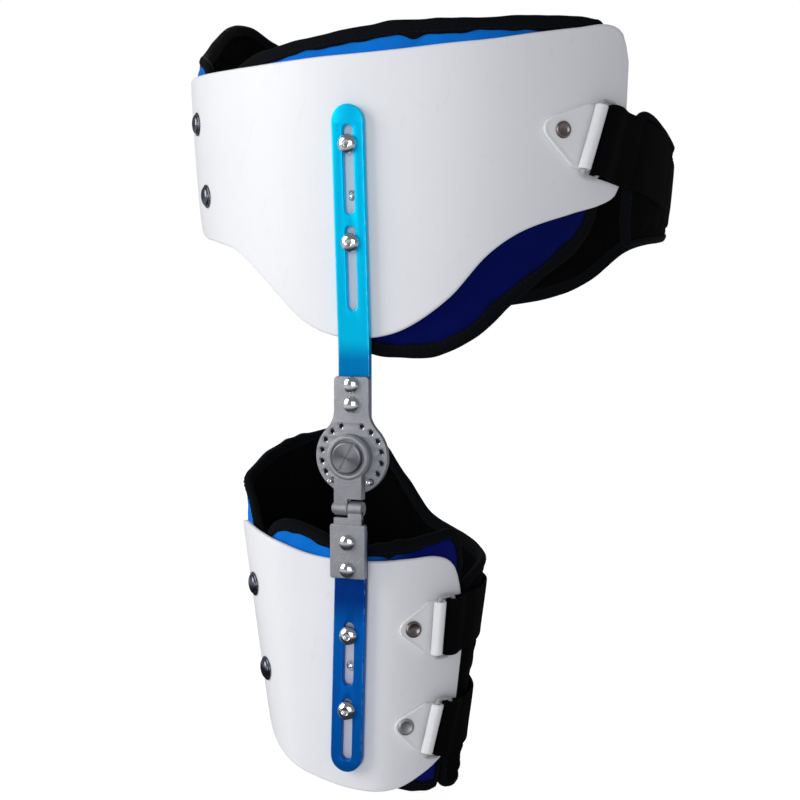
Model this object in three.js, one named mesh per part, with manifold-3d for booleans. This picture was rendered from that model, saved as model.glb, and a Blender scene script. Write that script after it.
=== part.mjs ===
// Hip abduction brace for the right hip: a pelvic half shell with its liner and belt, a slotted bar,
// a stop hinge for flexion, a knuckle hinge for abduction, a second bar and a thigh cuff with two straps.
// Millimetres. +X points to the front of the body, +Y to its middle, +Z up; the bars stand on the -Y side.
// The origin is the middle of the hollow that the pelvis fills.

import * as THREE from 'three';
import { mergeVertices } from 'three/addons/utils/BufferGeometryUtils.js';
import Module from 'manifold-3d';

const wasm = await Module();
wasm.setup();

// Layers of the cuffs, counted outward from the skin
const GAP = 0.3;
const LINER = 6;
const SHELL = 3.5;
const SHELL_IN = LINER + GAP;
const SHELL_OUT = SHELL_IN + SHELL;
const WEBBING = 2;
const STRAP_GAP = 0.55;
const STRAP_LAYER = WEBBING + 2 * STRAP_GAP;
const THIGH_SHELL_IN = LINER + STRAP_LAYER;
const THIGH_SHELL_OUT = THIGH_SHELL_IN + SHELL;

// Sections of the two hollows: half sizes along X (depth) and Y (width), and the middle of each section
const PELVIS_FORM = [
  { z: -120, midX: -2, midY: 0, depth: 143, width: 133 },
  { z: 0, midX: -2, midY: 0, depth: 155.5, width: 142 },
  { z: 60, midX: -2, midY: 0, depth: 159, width: 146.5 },
  { z: 140, midX: -2, midY: 0, depth: 162, width: 151 },
];
const THIGH_FORM = [
  { z: -395, midX: -6, midY: -112.3, depth: 44.6, width: 40.9 },
  { z: -375, midX: -7.6, midY: -108.5, depth: 47.6, width: 43.6 },
  { z: -215, midX: -20, midY: -78.2, depth: 71.6, width: 65.2 },
  { z: -155, midX: -24, midY: -66.9, depth: 80.6, width: 73.3 },
];
// The thigh cuff is flatter where its bar lies: above this cosine its curve keeps only a part of its rise
const FLAT_FROM = 0.9;
const FLAT_KEEP = 0.25;

// Outlines by angle round the hollow: 0 is the bar's side, positive to the front, negative to the back
const PELVIC_SHELL_EDGE = [
  { angle: -65, bottom: 4, top: 70 },
  { angle: -63, bottom: -14, top: 80 },
  { angle: -58, bottom: -25, top: 81.5 },
  { angle: -45, bottom: -31, top: 79 },
  { angle: -34, bottom: -38, top: 77 },
  { angle: -24, bottom: -57, top: 76 },
  { angle: -14, bottom: -81, top: 76 },
  { angle: -6, bottom: -91, top: 76.5 },
  { angle: 3, bottom: -93, top: 77 },
  { angle: 12, bottom: -87, top: 78.5 },
  { angle: 22, bottom: -68, top: 81.5 },
  { angle: 30, bottom: -43, top: 84 },
  { angle: 38, bottom: -28, top: 88 },
  { angle: 50, bottom: -17, top: 94 },
  { angle: 58, bottom: -11, top: 98 },
  { angle: 63, bottom: -4, top: 93 },
  { angle: 65, bottom: 8, top: 78 },
];
const PELVIC_LINER_EDGE = [
  { angle: -42, bottom: 0, top: 50 },
  { angle: -40, bottom: -14, top: 64 },
  { angle: -34, bottom: -28, top: 75 },
  { angle: -27, bottom: -42, top: 81 },
  { angle: -14, bottom: -72, top: 87 },
  { angle: -5, bottom: -90, top: 90 },
  { angle: 3, bottom: -101, top: 92 },
  { angle: 12, bottom: -104.5, top: 94 },
  { angle: 20, bottom: -102.5, top: 95 },
  { angle: 28, bottom: -92, top: 96.5 },
  { angle: 38, bottom: -69, top: 98 },
  { angle: 48, bottom: -49, top: 100 },
  { angle: 55, bottom: -33, top: 101 },
  { angle: 58, bottom: -18, top: 98 },
  { angle: 59, bottom: 0, top: 84 },
];
// The belt runs backwards from the shell's rear edge, round the far side, to the closure at the front
const BELT_EDGE = [
  { angle: -292.5, bottom: -22, top: 32, lift: 4 },
  { angle: -291, bottom: -34, top: 42, lift: 4.5 },
  { angle: -287, bottom: -34, top: 48.5, lift: 5.4 },
  { angle: -277, bottom: -31.5, top: 42, lift: 6.4 },
  { angle: -266, bottom: -29, top: 36, lift: 7 },
  { angle: -246, bottom: -28, top: 38, lift: 6 },
  { angle: -230, bottom: -34, top: 48, lift: 3 },
  { angle: -217, bottom: -54, top: 58, lift: 0.6 },
  { angle: -206, bottom: -64, top: 64, lift: 0 },
  { angle: -186, bottom: -73, top: 78, lift: 0 },
  { angle: -160, bottom: -68, top: 96, lift: 0 },
  { angle: -130, bottom: -48, top: 118, lift: 0 },
  { angle: -113, bottom: -35, top: 131, lift: 0 },
  { angle: -103, bottom: -27, top: 138.5, lift: 0 },
  { angle: -90, bottom: -20, top: 133, lift: 0 },
  { angle: -78, bottom: -14, top: 118, lift: 0 },
  { angle: -66, bottom: -12, top: 102, lift: 0 },
  { angle: -60, bottom: -11.5, top: 97, lift: 0 },
  { angle: -54, bottom: -11, top: 92.5, lift: 0 },
  { angle: -48, bottom: -9, top: 86, lift: 0 },
  { angle: -45, bottom: -5, top: 74, lift: 0 },
  { angle: -44, bottom: 4, top: 60, lift: 0 },
];
const HUMP = { angle: -80, spread: 24, lean: 8.5, from: 74, to: 112 };
const THIGH_SHELL_EDGE = [
  { angle: -66, bottom: -322, top: -226 },
  { angle: -64, bottom: -336, top: -218 },
  { angle: -56, bottom: -348, top: -214.5 },
  { angle: -46, bottom: -355, top: -215.5 },
  { angle: -26, bottom: -363, top: -221 },
  { angle: -9, bottom: -368, top: -227.5 },
  { angle: 6, bottom: -371, top: -230 },
  { angle: 24, bottom: -372, top: -230 },
  { angle: 40, bottom: -370, top: -229 },
  { angle: 54, bottom: -364, top: -229 },
  { angle: 64, bottom: -359, top: -236 },
  { angle: 71, bottom: -354, top: -254 },
  { angle: 76, bottom: -346, top: -276 },
  { angle: 78, bottom: -332, top: -294 },
];
const THIGH_LINER_EDGE = [
  { angle: -39, bottom: -320, top: -236 },
  { angle: -37.5, bottom: -336, top: -223 },
  { angle: -32, bottom: -347, top: -213.5 },
  { angle: -24, bottom: -355, top: -209.5 },
  { angle: -13, bottom: -360, top: -211 },
  { angle: 0, bottom: -363, top: -217.5 },
  { angle: 18, bottom: -367, top: -222 },
  { angle: 38, bottom: -371, top: -220 },
  { angle: 54, bottom: -375.5, top: -216 },
  { angle: 64, bottom: -377.5, top: -214.5 },
  { angle: 71, bottom: -377.5, top: -222 },
  { angle: 74.5, bottom: -376, top: -233 },
  { angle: 76.3, bottom: -368, top: -247 },
];
const THIGH_PAD_EDGE = [
  { angle: -280.5, bottom: -368, top: -262, lift: 2.6 },
  { angle: -279, bottom: -377, top: -252, lift: 3 },
  { angle: -268, bottom: -381, top: -243, lift: 6 },
  { angle: -252, bottom: -381.5, top: -239, lift: 7 },
  { angle: -234, bottom: -381, top: -235.5, lift: 6 },
  { angle: -216, bottom: -380, top: -230, lift: 3 },
  { angle: -200, bottom: -378, top: -223, lift: 0.6 },
  { angle: -191, bottom: -376, top: -211, lift: 0 },
  { angle: -181, bottom: -375, top: -195, lift: 0 },
  { angle: -171, bottom: -374, top: -178, lift: 0 },
  { angle: -162, bottom: -372, top: -167, lift: 0 },
  { angle: -146, bottom: -369, top: -163, lift: 0 },
  { angle: -122, bottom: -362, top: -169, lift: 0 },
  { angle: -96, bottom: -352, top: -179, lift: 0 },
  { angle: -80, bottom: -344, top: -188, lift: 0 },
  { angle: -66, bottom: -336, top: -203, lift: 0 },
  { angle: -55, bottom: -331, top: -217, lift: 0 },
  { angle: -45, bottom: -326, top: -227, lift: 0 },
  { angle: -41, bottom: -314, top: -240, lift: 0 },
];

// Bars: flat strips that stand plumb behind the hinge plates and lean outward over the cuffs
const BAR = { width: 20.5, thick: 4.5, slotWidth: 7 };
const SHELL_HOLE = 3.4;
const UPPER_BAR = {
  foot: -142, plumbY: -145, bendAt: -100, lean: 0.0745, top: 47,
  slots: [{ low: -76, high: -25 }, { low: -18, high: 35 }],
  screws: [-35, 23.5], insert: -6.5,
};
const LOWER_BAR = {
  foot: -210, plumbY: -152.1, bendAt: -240, lean: 0.068, top: -359,
  slots: [{ low: -306, high: -267 }, { low: -352, high: -314 }],
  screws: [-275, -321], insert: -295,
};

// Flexion hinge: a drilled dial on the upper plate, an arm in front of it, stop pins in two of the holes
const HINGE_Z = -165;
const HEAD = { width: 23, thick: 4, top: -116, shoulder: -139, backY: -149.8, radius: 23.5 };
const HOLES = { circle: 19.8, radius: 1.8, step: 20, each: 7 };
const STOP_PIN = { radius: 1.5, proud: 5 };
const ARM = { width: 18.4, thick: 6, radius: 14, bottom: -190.6 };
const PIVOT = { bore: 4.3, shank: 4, head: 10.1, headThick: 2.6, slot: 1.6, slotDeep: 1.2, turn: 30 };

// Abduction hinge: two knuckles on one pin
const KNUCKLE = { y: -157, z: -196.5, radius: 4.4, bore: 2.3, pin: 2, headRadius: 3.4, headThick: 1.8 };
const LEAF = { width: 23, thick: 4, top: -206, bottom: -239.4, backY: -156.9 };
const PLATE_SCREWS = { head: [-121, -133], leaf: [-217, -234], radius: 5.1, dome: 3 };

// Fasteners on the cuffs
const BAR_SCREW = { radius: 5.8, dome: 3.4, shank: 3, socket: 1.9, socketDeep: 1.4 };
const INSERT = { radius: 3, bore: 1.7, boreDeep: 2, sunk: 0.7 };
const REAR_RIVET = { radius: 7.8, dome: 4 };
const PELVIC_RIVETS = [{ angle: -52.5, z: 49 }, { angle: -48.5, z: 0 }];
const THIGH_RIVETS = [{ angle: -50, z: -254 }, { angle: -48, z: -307 }];

// Chafes: a tab riveted to the shell, rolled over one bar of a ring; the strap folds over the other bar
const RING = { bar: 3.4, span: 11, side: 2.6 };
const TAB_THICK = 1.5;
const ROLL = RING.bar * Math.SQRT1_2 + GAP + TAB_THICK / 2;
const FOLD = RING.bar * Math.SQRT1_2 + GAP + WEBBING / 2;
const CHAFE_RIVET = { radius: 5.2, thick: 1.4, dish: 3.1, dishDeep: 0.7 };
const PELVIC_CHAFE = {
  angle: 52.8, z: 29, lean: 17, around: 166, base: SHELL_OUT, strap: 45, tab: 40, length: 33, rivet: 20,
  tail: 42, last: 92, endZ: 14,
};
const THIGH_CHAFES = [
  { angle: 53.7, z: -272, lean: 0, around: 84, base: THIGH_SHELL_OUT, strap: 35, tab: 32, length: 27,
    rivet: 17, tail: 40, last: 388, endZ: -254 },
  { angle: 54.6, z: -334, lean: 12, around: 74, base: THIGH_SHELL_OUT, strap: 33, tab: 29, length: 26,
    rivet: 18, tail: 38, last: 341, endZ: -307 },
];

const LOOKS = {
  white: { color: 0xe4e6ea, roughness: 0.42, metalness: 0 },
  blueBar: { color: 0x0f8fd2, roughness: 0.32, metalness: 0.8 },
  steel: { color: 0x8d9097, roughness: 0.36, metalness: 0.9 },
  chrome: { color: 0xc4c8ce, roughness: 0.18, metalness: 1 },
  foam: { color: 0x1259b0, roughness: 0.85, metalness: 0 },
  black: { color: 0x15161a, roughness: 0.88, metalness: 0 },
  ring: { color: 0xd9dade, roughness: 0.4, metalness: 0 },
};

const radians = THREE.MathUtils.degToRad;
const group = new THREE.Group();

// Reading a table: a smooth curve through one column
function smooth(table, by, at, column) {
  const last = table.length - 1;
  const x = (k) => table[THREE.MathUtils.clamp(k, 0, last)][by];
  const y = (k) => table[THREE.MathUtils.clamp(k, 0, last)][column];
  if (at <= x(0)) return y(0);
  if (at >= x(last)) return y(last);
  let k = 0;
  while (at > x(k + 1)) k += 1;
  const span = x(k + 1) - x(k);
  const slope = (j) => (x(j + 1) === x(j - 1) ? 0 : (y(j + 1) - y(j - 1)) / (x(j + 1) - x(j - 1)));
  const t = (at - x(k)) / span;
  const h = t * t * (3 - 2 * t);
  const curve = t * (1 - t) * ((1 - t) * slope(k) - t * slope(k + 1)) * span;
  return y(k) * (1 - h) + y(k + 1) * h + curve;
}

// A point on a hollow's form, pushed outward by off
function onForm(form, angle, z, off) {
  const half = (column) => smooth(form, 'z', z, column) + off;
  const turn = radians(angle);
  let across = Math.cos(turn);
  if (form === THIGH_FORM && across > FLAT_FROM) {
    across = FLAT_FROM + (across - FLAT_FROM) * FLAT_KEEP;
  }
  const x = smooth(form, 'z', z, 'midX') + half('depth') * Math.sin(turn);
  const y = smooth(form, 'z', z, 'midY') - half('width') * across;
  return new THREE.Vector3(x, y, z);
}

// The form's outward direction, from two short steps along it
function outward(form, angle, z, off) {
  const alongAngle = onForm(form, angle + 2, z, off).sub(onForm(form, angle - 2, z, off));
  const alongZ = onForm(form, angle, z + 4, off).sub(onForm(form, angle, z - 4, off));
  return alongAngle.cross(alongZ).normalize();
}

// A closed mesh with shared corners, faces turned outward and no empty triangles
function closed(geometry) {
  const bare = geometry.index ? geometry.clone() : geometry;
  bare.deleteAttribute('normal');
  bare.deleteAttribute('uv');
  const welded = mergeVertices(bare, 1e-4);
  const corner = welded.index.array;
  const kept = [];
  for (let k = 0; k < corner.length; k += 3) {
    const [a, b, c] = corner.slice(k, k + 3);
    if (a !== b && b !== c && c !== a) kept.push(a, b, c);
  }
  welded.setIndex(kept);
  return welded;
}

function volume(geometry) {
  const p = geometry.attributes.position;
  const corner = geometry.index.array;
  const [a, b, c] = [new THREE.Vector3(), new THREE.Vector3(), new THREE.Vector3()];
  let sum = 0;
  for (let k = 0; k < corner.length; k += 3) {
    a.fromBufferAttribute(p, corner[k]);
    b.fromBufferAttribute(p, corner[k + 1]);
    c.fromBufferAttribute(p, corner[k + 2]);
    sum += a.dot(b.cross(c)) / 6;
  }
  return sum;
}

// A sheet solid between an inner and an outer grid; place(u, v, face) gives the point, face 0 or 1
function sheet(along, across, place) {
  const points = [];
  for (const face of [0, 1]) {
    for (let i = 0; i <= along; i += 1) {
      for (let j = 0; j <= across; j += 1) points.push(place(i / along, j / across, face));
    }
  }
  const id = (face, i, j) => face * (along + 1) * (across + 1) + i * (across + 1) + j;
  const index = [];
  const quad = (a, b, c, d) => index.push(a, b, c, a, c, d);
  for (let i = 0; i < along; i += 1) {
    for (let j = 0; j < across; j += 1) {
      quad(id(1, i, j), id(1, i + 1, j), id(1, i + 1, j + 1), id(1, i, j + 1));
      quad(id(0, i, j + 1), id(0, i + 1, j + 1), id(0, i + 1, j), id(0, i, j));
    }
    quad(id(0, i, 0), id(0, i + 1, 0), id(1, i + 1, 0), id(1, i, 0));
    quad(id(1, i, across), id(1, i + 1, across), id(0, i + 1, across), id(0, i, across));
  }
  for (let j = 0; j < across; j += 1) {
    quad(id(0, 0, j + 1), id(0, 0, j), id(1, 0, j), id(1, 0, j + 1));
    quad(id(0, along, j), id(0, along, j + 1), id(1, along, j + 1), id(1, along, j));
  }
  const geometry = new THREE.BufferGeometry().setFromPoints(points);
  geometry.setIndex(index);
  if (volume(geometry) < 0) {
    for (let k = 0; k < index.length; k += 3) [index[k], index[k + 1]] = [index[k + 1], index[k]];
    geometry.setIndex(index);
  }
  return geometry;
}

// Joining and cutting closed meshes
function toManifold(geometry) {
  const mesh = closed(geometry);
  const vertProperties = new Float32Array(mesh.attributes.position.array);
  const triVerts = new Uint32Array(mesh.index.array);
  return new wasm.Manifold(new wasm.Mesh({ numProp: 3, vertProperties, triVerts }));
}

function joinAndCut(joined, cut) {
  let solid = toManifold(joined[0]);
  for (const other of joined.slice(1)) solid = solid.add(toManifold(other));
  for (const tool of cut) solid = solid.subtract(toManifold(tool));
  const mesh = solid.getMesh();
  const geometry = new THREE.BufferGeometry();
  geometry.setAttribute('position', new THREE.BufferAttribute(mesh.vertProperties, 3));
  geometry.setIndex(new THREE.BufferAttribute(mesh.triVerts, 1));
  return geometry;
}

function add(name, look, geometry, parent = group) {
  const mesh = new THREE.Mesh(closed(geometry), new THREE.MeshStandardMaterial(LOOKS[look]));
  mesh.name = name;
  parent.add(mesh);
  return mesh;
}

// A flat shape drawn in X and Z, with its back at backY and its front thick towards -Y
function flatPlate(shape, thick, backY, curveSegments = 8) {
  const geometry = new THREE.ExtrudeGeometry(shape, { depth: thick, bevelEnabled: false, curveSegments });
  geometry.rotateX(Math.PI / 2);
  geometry.translate(0, backY, 0);
  return geometry;
}

// A round hole as a polygon
function roundHole(x, y, radius, sides) {
  const points = [];
  for (let k = 0; k < sides; k += 1) {
    const turn = (2 * Math.PI * k) / sides;
    points.push(new THREE.Vector2(x + radius * Math.cos(turn), y + radius * Math.sin(turn)));
  }
  return new THREE.Path(points);
}

// A cylinder along X
function rodX(radius, from, to, y, z, sides = 16) {
  const geometry = new THREE.CylinderGeometry(radius, radius, to - from, sides);
  geometry.rotateZ(Math.PI / 2);
  geometry.translate((from + to) / 2, y, z);
  return geometry;
}

// A turned piece whose axis points along facing, standing on point
function turned(name, look, profile, sides, point, facing) {
  const rows = profile.map(([radius, height]) => new THREE.Vector2(radius, height));
  const mesh = add(name, look, new THREE.LatheGeometry(rows, sides));
  mesh.position.copy(point);
  mesh.quaternion.setFromUnitVectors(new THREE.Vector3(0, 1, 0), facing);
  return mesh;
}

function domeProfile(radius, height) {
  return [[0, 0], [radius, 0], [radius, height * 0.22], [radius * 0.86, height * 0.58],
    [radius * 0.5, height * 0.9], [0, height]];
}

// A cuff piece: an outline table wrapped on a form between two layers
function cuff(form, edge, along, across, inner, outer) {
  const first = edge[0].angle;
  const last = edge[edge.length - 1].angle;
  return sheet(along, across, (u, v, face) => {
    const eased = 0.55 * u + 0.45 * (0.5 - 0.5 * Math.cos(Math.PI * u));
    const angle = first + (last - first) * eased;
    const bottom = smooth(edge, 'angle', angle, 'bottom');
    const top = smooth(edge, 'angle', angle, 'top');
    const z = bottom + (top - bottom) * v;
    const off = face ? outer(angle, z) : inner(angle, z);
    return onForm(form, angle, z, off);
  });
}

// How far the belt's top leans inward beside the shell's rear edge
function beltLean(angle, z) {
  const spread = (angle - HUMP.angle) / HUMP.spread;
  return HUMP.lean * Math.exp(-spread * spread) * THREE.MathUtils.smoothstep(z, HUMP.from, HUMP.to);
}

// The back face of a bar at a height, and the way its leaning face looks
function barY(bar, z) {
  const past = Math.sign(bar.top - bar.foot) * (z - bar.bendAt);
  return bar.plumbY - bar.lean * Math.max(0, past);
}

function barFacing(bar) {
  return new THREE.Vector3(0, -1, -bar.lean * Math.sign(bar.top - bar.foot)).normalize();
}

// Holes through a shell for the screws of its bar and for the spare insert
function shellHoles(bar) {
  return [...bar.screws, bar.insert].map((z) => {
    const tool = new THREE.CylinderGeometry(SHELL_HOLE, SHELL_HOLE, 16, 12);
    tool.applyQuaternion(new THREE.Quaternion().setFromUnitVectors(new THREE.Vector3(0, 1, 0), barFacing(bar)));
    tool.translate(0, barY(bar, z), z);
    return tool;
  });
}

// Pelvic shell, liner and belt
const beltLift = (angle) => smooth(BELT_EDGE, 'angle', angle, 'lift');
const beltIn = (angle, z) => beltLift(angle) - beltLean(angle, z);
const padLift = (angle) => smooth(THIGH_PAD_EDGE, 'angle', angle, 'lift');
add('pelvic_shell', 'white', joinAndCut(
  [cuff(PELVIS_FORM, PELVIC_SHELL_EDGE, 34, 6, () => SHELL_IN, () => SHELL_OUT)],
  shellHoles(UPPER_BAR),
));
add('pelvic_liner', 'foam', cuff(PELVIS_FORM, PELVIC_LINER_EDGE, 28, 5, () => 0, () => LINER));
add('pelvic_belt', 'foam', cuff(PELVIS_FORM, BELT_EDGE, 48, 5, beltIn, (angle, z) => LINER + beltIn(angle, z)));

// Thigh shell, liner and the pad round the far side
add('thigh_shell', 'white', joinAndCut(
  [cuff(THIGH_FORM, THIGH_SHELL_EDGE, 28, 5, () => THIGH_SHELL_IN, () => THIGH_SHELL_OUT)],
  shellHoles(LOWER_BAR),
));
add('thigh_liner', 'foam', cuff(THIGH_FORM, THIGH_LINER_EDGE, 24, 5, () => 0, () => THIGH_SHELL_IN - 2 * GAP));
add('thigh_pad', 'foam', cuff(THIGH_FORM, THIGH_PAD_EDGE, 40, 5, padLift, (angle) => LINER + padLift(angle)));

// Bars
function slotShape(slot) {
  const radius = BAR.slotWidth / 2;
  const shape = new THREE.Shape();
  shape.absarc(0, slot.high - radius, radius, 0, Math.PI, false);
  shape.absarc(0, slot.low + radius, radius, Math.PI, 2 * Math.PI, false);
  return shape;
}

function barBody(bar) {
  const radius = BAR.width / 2;
  const way = Math.sign(bar.top - bar.foot);
  const round = 6;
  const stations = [bar.foot, bar.bendAt - 4 * way, bar.bendAt, bar.bendAt + 4 * way];
  for (let k = 0; k <= round; k += 1) {
    const turn = (k / round) * radians(84);
    stations.push(bar.top - way * radius * (1 - Math.sin(turn)));
  }
  const body = sheet(stations.length - 1, 2, (u, v, face) => {
    const z = stations[Math.round(u * (stations.length - 1))];
    const left = radius - Math.abs(bar.top - z);
    const half = left > 0 ? Math.sqrt(radius * radius - left * left) : radius;
    return new THREE.Vector3(half * (2 * v - 1), barY(bar, z) - face * BAR.thick, z);
  });
  const slots = bar.slots.map((slot) => flatPlate(slotShape(slot), 40, bar.plumbY + 10, 5));
  return joinAndCut([body], slots);
}

function barScrewProfile() {
  const { radius, dome, shank, socket, socketDeep } = BAR_SCREW;
  const deep = BAR.thick + SHELL;
  return [[0, -deep], [shank, -deep], [shank, 0], [radius, 0], [radius, dome * 0.24],
    [radius * 0.78, dome * 0.76], [socket, dome], [socket, dome - socketDeep], [0, dome - socketDeep]];
}

function barSet(prefix, bar) {
  add(`${prefix}_bar`, 'blueBar', barBody(bar));
  const facing = barFacing(bar);
  bar.screws.forEach((z, k) => {
    const seat = new THREE.Vector3(0, barY(bar, z) - BAR.thick - GAP, z);
    turned(`${prefix}_bar_screw_${k + 1}`, 'chrome', barScrewProfile(), 12, seat, facing);
  });
  const floor = new THREE.Vector3(0, barY(bar, bar.insert) + SHELL + INSERT.sunk, bar.insert);
  const { radius, bore, boreDeep } = INSERT;
  const boreFloor = SHELL - boreDeep;
  const rows = [[0, 0], [radius, 0], [radius, SHELL], [bore, SHELL], [bore, boreFloor], [0, boreFloor]];
  turned(`${prefix}_bar_insert`, 'steel', rows, 12, floor, facing);
}

barSet('upper', UPPER_BAR);
barSet('lower', LOWER_BAR);

// Flexion hinge
const OUT = new THREE.Vector3(0, -1, 0);
const headFront = HEAD.backY - HEAD.thick;

function dialPoint(degrees) {
  const turn = radians(degrees);
  return new THREE.Vector2(HOLES.circle * Math.sin(turn), HINGE_Z + HOLES.circle * Math.cos(turn));
}

function headShape() {
  const half = HEAD.width / 2;
  const from = radians(50);
  const shape = new THREE.Shape();
  shape.moveTo(-half, HEAD.top - 1.5);
  shape.lineTo(-half + 1.5, HEAD.top);
  shape.lineTo(half - 1.5, HEAD.top);
  shape.lineTo(half, HEAD.top - 1.5);
  shape.lineTo(half, HEAD.shoulder);
  shape.absarc(0, HINGE_Z, HEAD.radius, from, Math.PI - from, true);
  shape.lineTo(-half, HEAD.shoulder);
  shape.holes.push(roundHole(0, HINGE_Z, PIVOT.bore, 16));
  for (let k = 1; k <= HOLES.each; k += 1) {
    for (const side of [-1, 1]) {
      const hole = dialPoint(side * k * HOLES.step);
      shape.holes.push(roundHole(hole.x, hole.y, HOLES.radius, 8));
    }
  }
  return shape;
}

function armShape() {
  const half = ARM.width / 2;
  const neck = Math.acos(half / ARM.radius);
  const shape = new THREE.Shape();
  shape.absarc(0, HINGE_Z, ARM.radius, -neck, Math.PI + neck, false);
  shape.lineTo(-half, KNUCKLE.z);
  shape.lineTo(-GAP / 2, KNUCKLE.z);
  shape.lineTo(-GAP / 2, ARM.bottom);
  shape.lineTo(half, ARM.bottom);
  shape.holes.push(roundHole(0, HINGE_Z, PIVOT.bore, 16));
  return shape;
}

const armBack = headFront - GAP;
const armFront = armBack - ARM.thick;
const knuckle = (from, to, radius, sides) => rodX(radius, from, to, KNUCKLE.y, KNUCKLE.z, sides);
const pinBore = knuckle(-40, 40, KNUCKLE.bore, 12);
add('hinge_head', 'steel', flatPlate(headShape(), HEAD.thick, HEAD.backY, 14));
add('hinge_arm', 'steel', joinAndCut(
  [flatPlate(armShape(), ARM.thick, armBack, 10), knuckle(-ARM.width / 2, -GAP / 2, KNUCKLE.radius, 18)],
  [pinBore],
));

function pivotScrew() {
  const deep = HEAD.thick + ARM.thick + GAP;
  const rows = [[0, -deep], [PIVOT.shank, -deep], [PIVOT.shank, 0], [PIVOT.head, 0], [PIVOT.head, 1.2],
    [PIVOT.head - 1.6, PIVOT.headThick], [0, PIVOT.headThick]];
  const profile = rows.map(([radius, height]) => new THREE.Vector2(radius, height));
  const slot = new THREE.BoxGeometry(4 * PIVOT.head, 2 * PIVOT.slotDeep, PIVOT.slot);
  slot.translate(0, PIVOT.headThick, 0);
  slot.rotateY(radians(PIVOT.turn));
  return joinAndCut([new THREE.LatheGeometry(profile, 22)], [slot]);
}

const pivot = add('hinge_pivot_screw', 'steel', pivotScrew());
pivot.position.set(0, armFront - GAP, HINGE_Z);
pivot.quaternion.setFromUnitVectors(new THREE.Vector3(0, 1, 0), OUT);

for (const side of [-1, 1]) {
  const hole = dialPoint(side * HOLES.each * HOLES.step);
  const long = HEAD.thick + STOP_PIN.proud;
  const { radius } = STOP_PIN;
  const rows = [[0, 0], [radius, 0], [radius, long - 0.5], [radius - 0.5, long], [0, long]];
  const name = side < 0 ? 'stop_pin_rear' : 'stop_pin_front';
  turned(name, 'steel', rows, 10, new THREE.Vector3(hole.x, HEAD.backY, hole.y), OUT);
}

// Abduction hinge
const knuckleEnd = ARM.width / 2;
add('abduction_pin', 'steel', joinAndCut(
  [
    knuckle(-knuckleEnd - GAP - 1, knuckleEnd, KNUCKLE.pin, 12),
    knuckle(-knuckleEnd - GAP - KNUCKLE.headThick, -knuckleEnd - GAP, KNUCKLE.headRadius, 14),
  ],
  [],
));

function leafShape() {
  const half = LEAF.width / 2;
  const shape = new THREE.Shape();
  shape.moveTo(GAP / 2, KNUCKLE.z);
  shape.lineTo(GAP / 2, LEAF.top);
  shape.lineTo(-half + 1.5, LEAF.top);
  shape.lineTo(-half, LEAF.top - 1.5);
  shape.lineTo(-half, LEAF.bottom + 1.5);
  shape.lineTo(-half + 1.5, LEAF.bottom);
  shape.lineTo(half - 1.5, LEAF.bottom);
  shape.lineTo(half, LEAF.bottom + 1.5);
  shape.lineTo(half, LEAF.top - 1.5);
  shape.lineTo(half - 1.5, LEAF.top);
  shape.lineTo(knuckleEnd, LEAF.top);
  shape.lineTo(knuckleEnd, KNUCKLE.z);
  return shape;
}

add('hinge_leaf', 'steel', joinAndCut(
  [flatPlate(leafShape(), LEAF.thick, LEAF.backY), knuckle(GAP / 2, knuckleEnd, KNUCKLE.radius, 18)],
  [pinBore],
));

function plateScrews(prefix, heights, frontY) {
  heights.forEach((z, k) => {
    const seat = new THREE.Vector3(0, frontY - GAP, z);
    const profile = domeProfile(PLATE_SCREWS.radius, PLATE_SCREWS.dome);
    turned(`${prefix}_screw_${k + 1}`, 'chrome', profile, 14, seat, OUT);
  });
}

plateScrews('hinge_head', PLATE_SCREWS.head, headFront);
plateScrews('hinge_leaf', PLATE_SCREWS.leaf, LEAF.backY - LEAF.thick);

// Rear rivets
function rearRivets(prefix, form, rivets, off) {
  rivets.forEach(({ angle, z }, k) => {
    const seat = onForm(form, angle, z, off + GAP);
    const facing = outward(form, angle, z, off);
    const profile = domeProfile(REAR_RIVET.radius, REAR_RIVET.dome);
    turned(`${prefix}_rivet_${k + 1}`, 'chrome', profile, 14, seat, facing);
  });
}

rearRivets('pelvic', PELVIS_FORM, PELVIC_RIVETS, SHELL_OUT);
rearRivets('thigh', THIGH_FORM, THIGH_RIVETS, THIGH_SHELL_OUT);

// Chafes and straps: flat pieces laid out along s, across w and outward n, then wrapped on the form
function chafeMap(form, chafe) {
  const lean = radians(chafe.lean);
  const slope = Math.tan(lean * 0.6);
  return (s, w, n) => {
    const late = THREE.MathUtils.smoothstep(s, chafe.tail, chafe.last);
    const near = 1 - THREE.MathUtils.smoothstep(s, chafe.tail, chafe.tail + 60);
    const start = -slope * Math.min(s, chafe.tail);
    const drop = start + (chafe.endZ - chafe.z - start) * late;
    const along = s + w * Math.sin(lean) * near;
    const angle = chafe.angle + THREE.MathUtils.radToDeg(along / chafe.around);
    return onForm(form, angle, chafe.z + drop + w * Math.cos(lean * near), n);
  };
}

function chafeAngle(chafe, s) {
  return chafe.angle + THREE.MathUtils.radToDeg(s / chafe.around);
}

// A strip that follows a path in s and n, with its own half width at each station
function strip(path, thick, across, map, halfWidth) {
  const last = path.length - 1;
  const side = path.map((p, k) => {
    const before = path[Math.max(0, k - 1)];
    const after = path[Math.min(last, k + 1)];
    const normal = new THREE.Vector2(before.y - after.y, after.x - before.x);
    return normal.normalize().multiplyScalar(thick / 2);
  });
  return sheet(last, across, (u, v, face) => {
    const k = Math.round(u * last);
    const sign = face ? 1 : -1;
    return map(path[k].x + sign * side[k].x, halfWidth(path[k].x) * (2 * v - 1), path[k].y + sign * side[k].y);
  });
}

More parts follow.
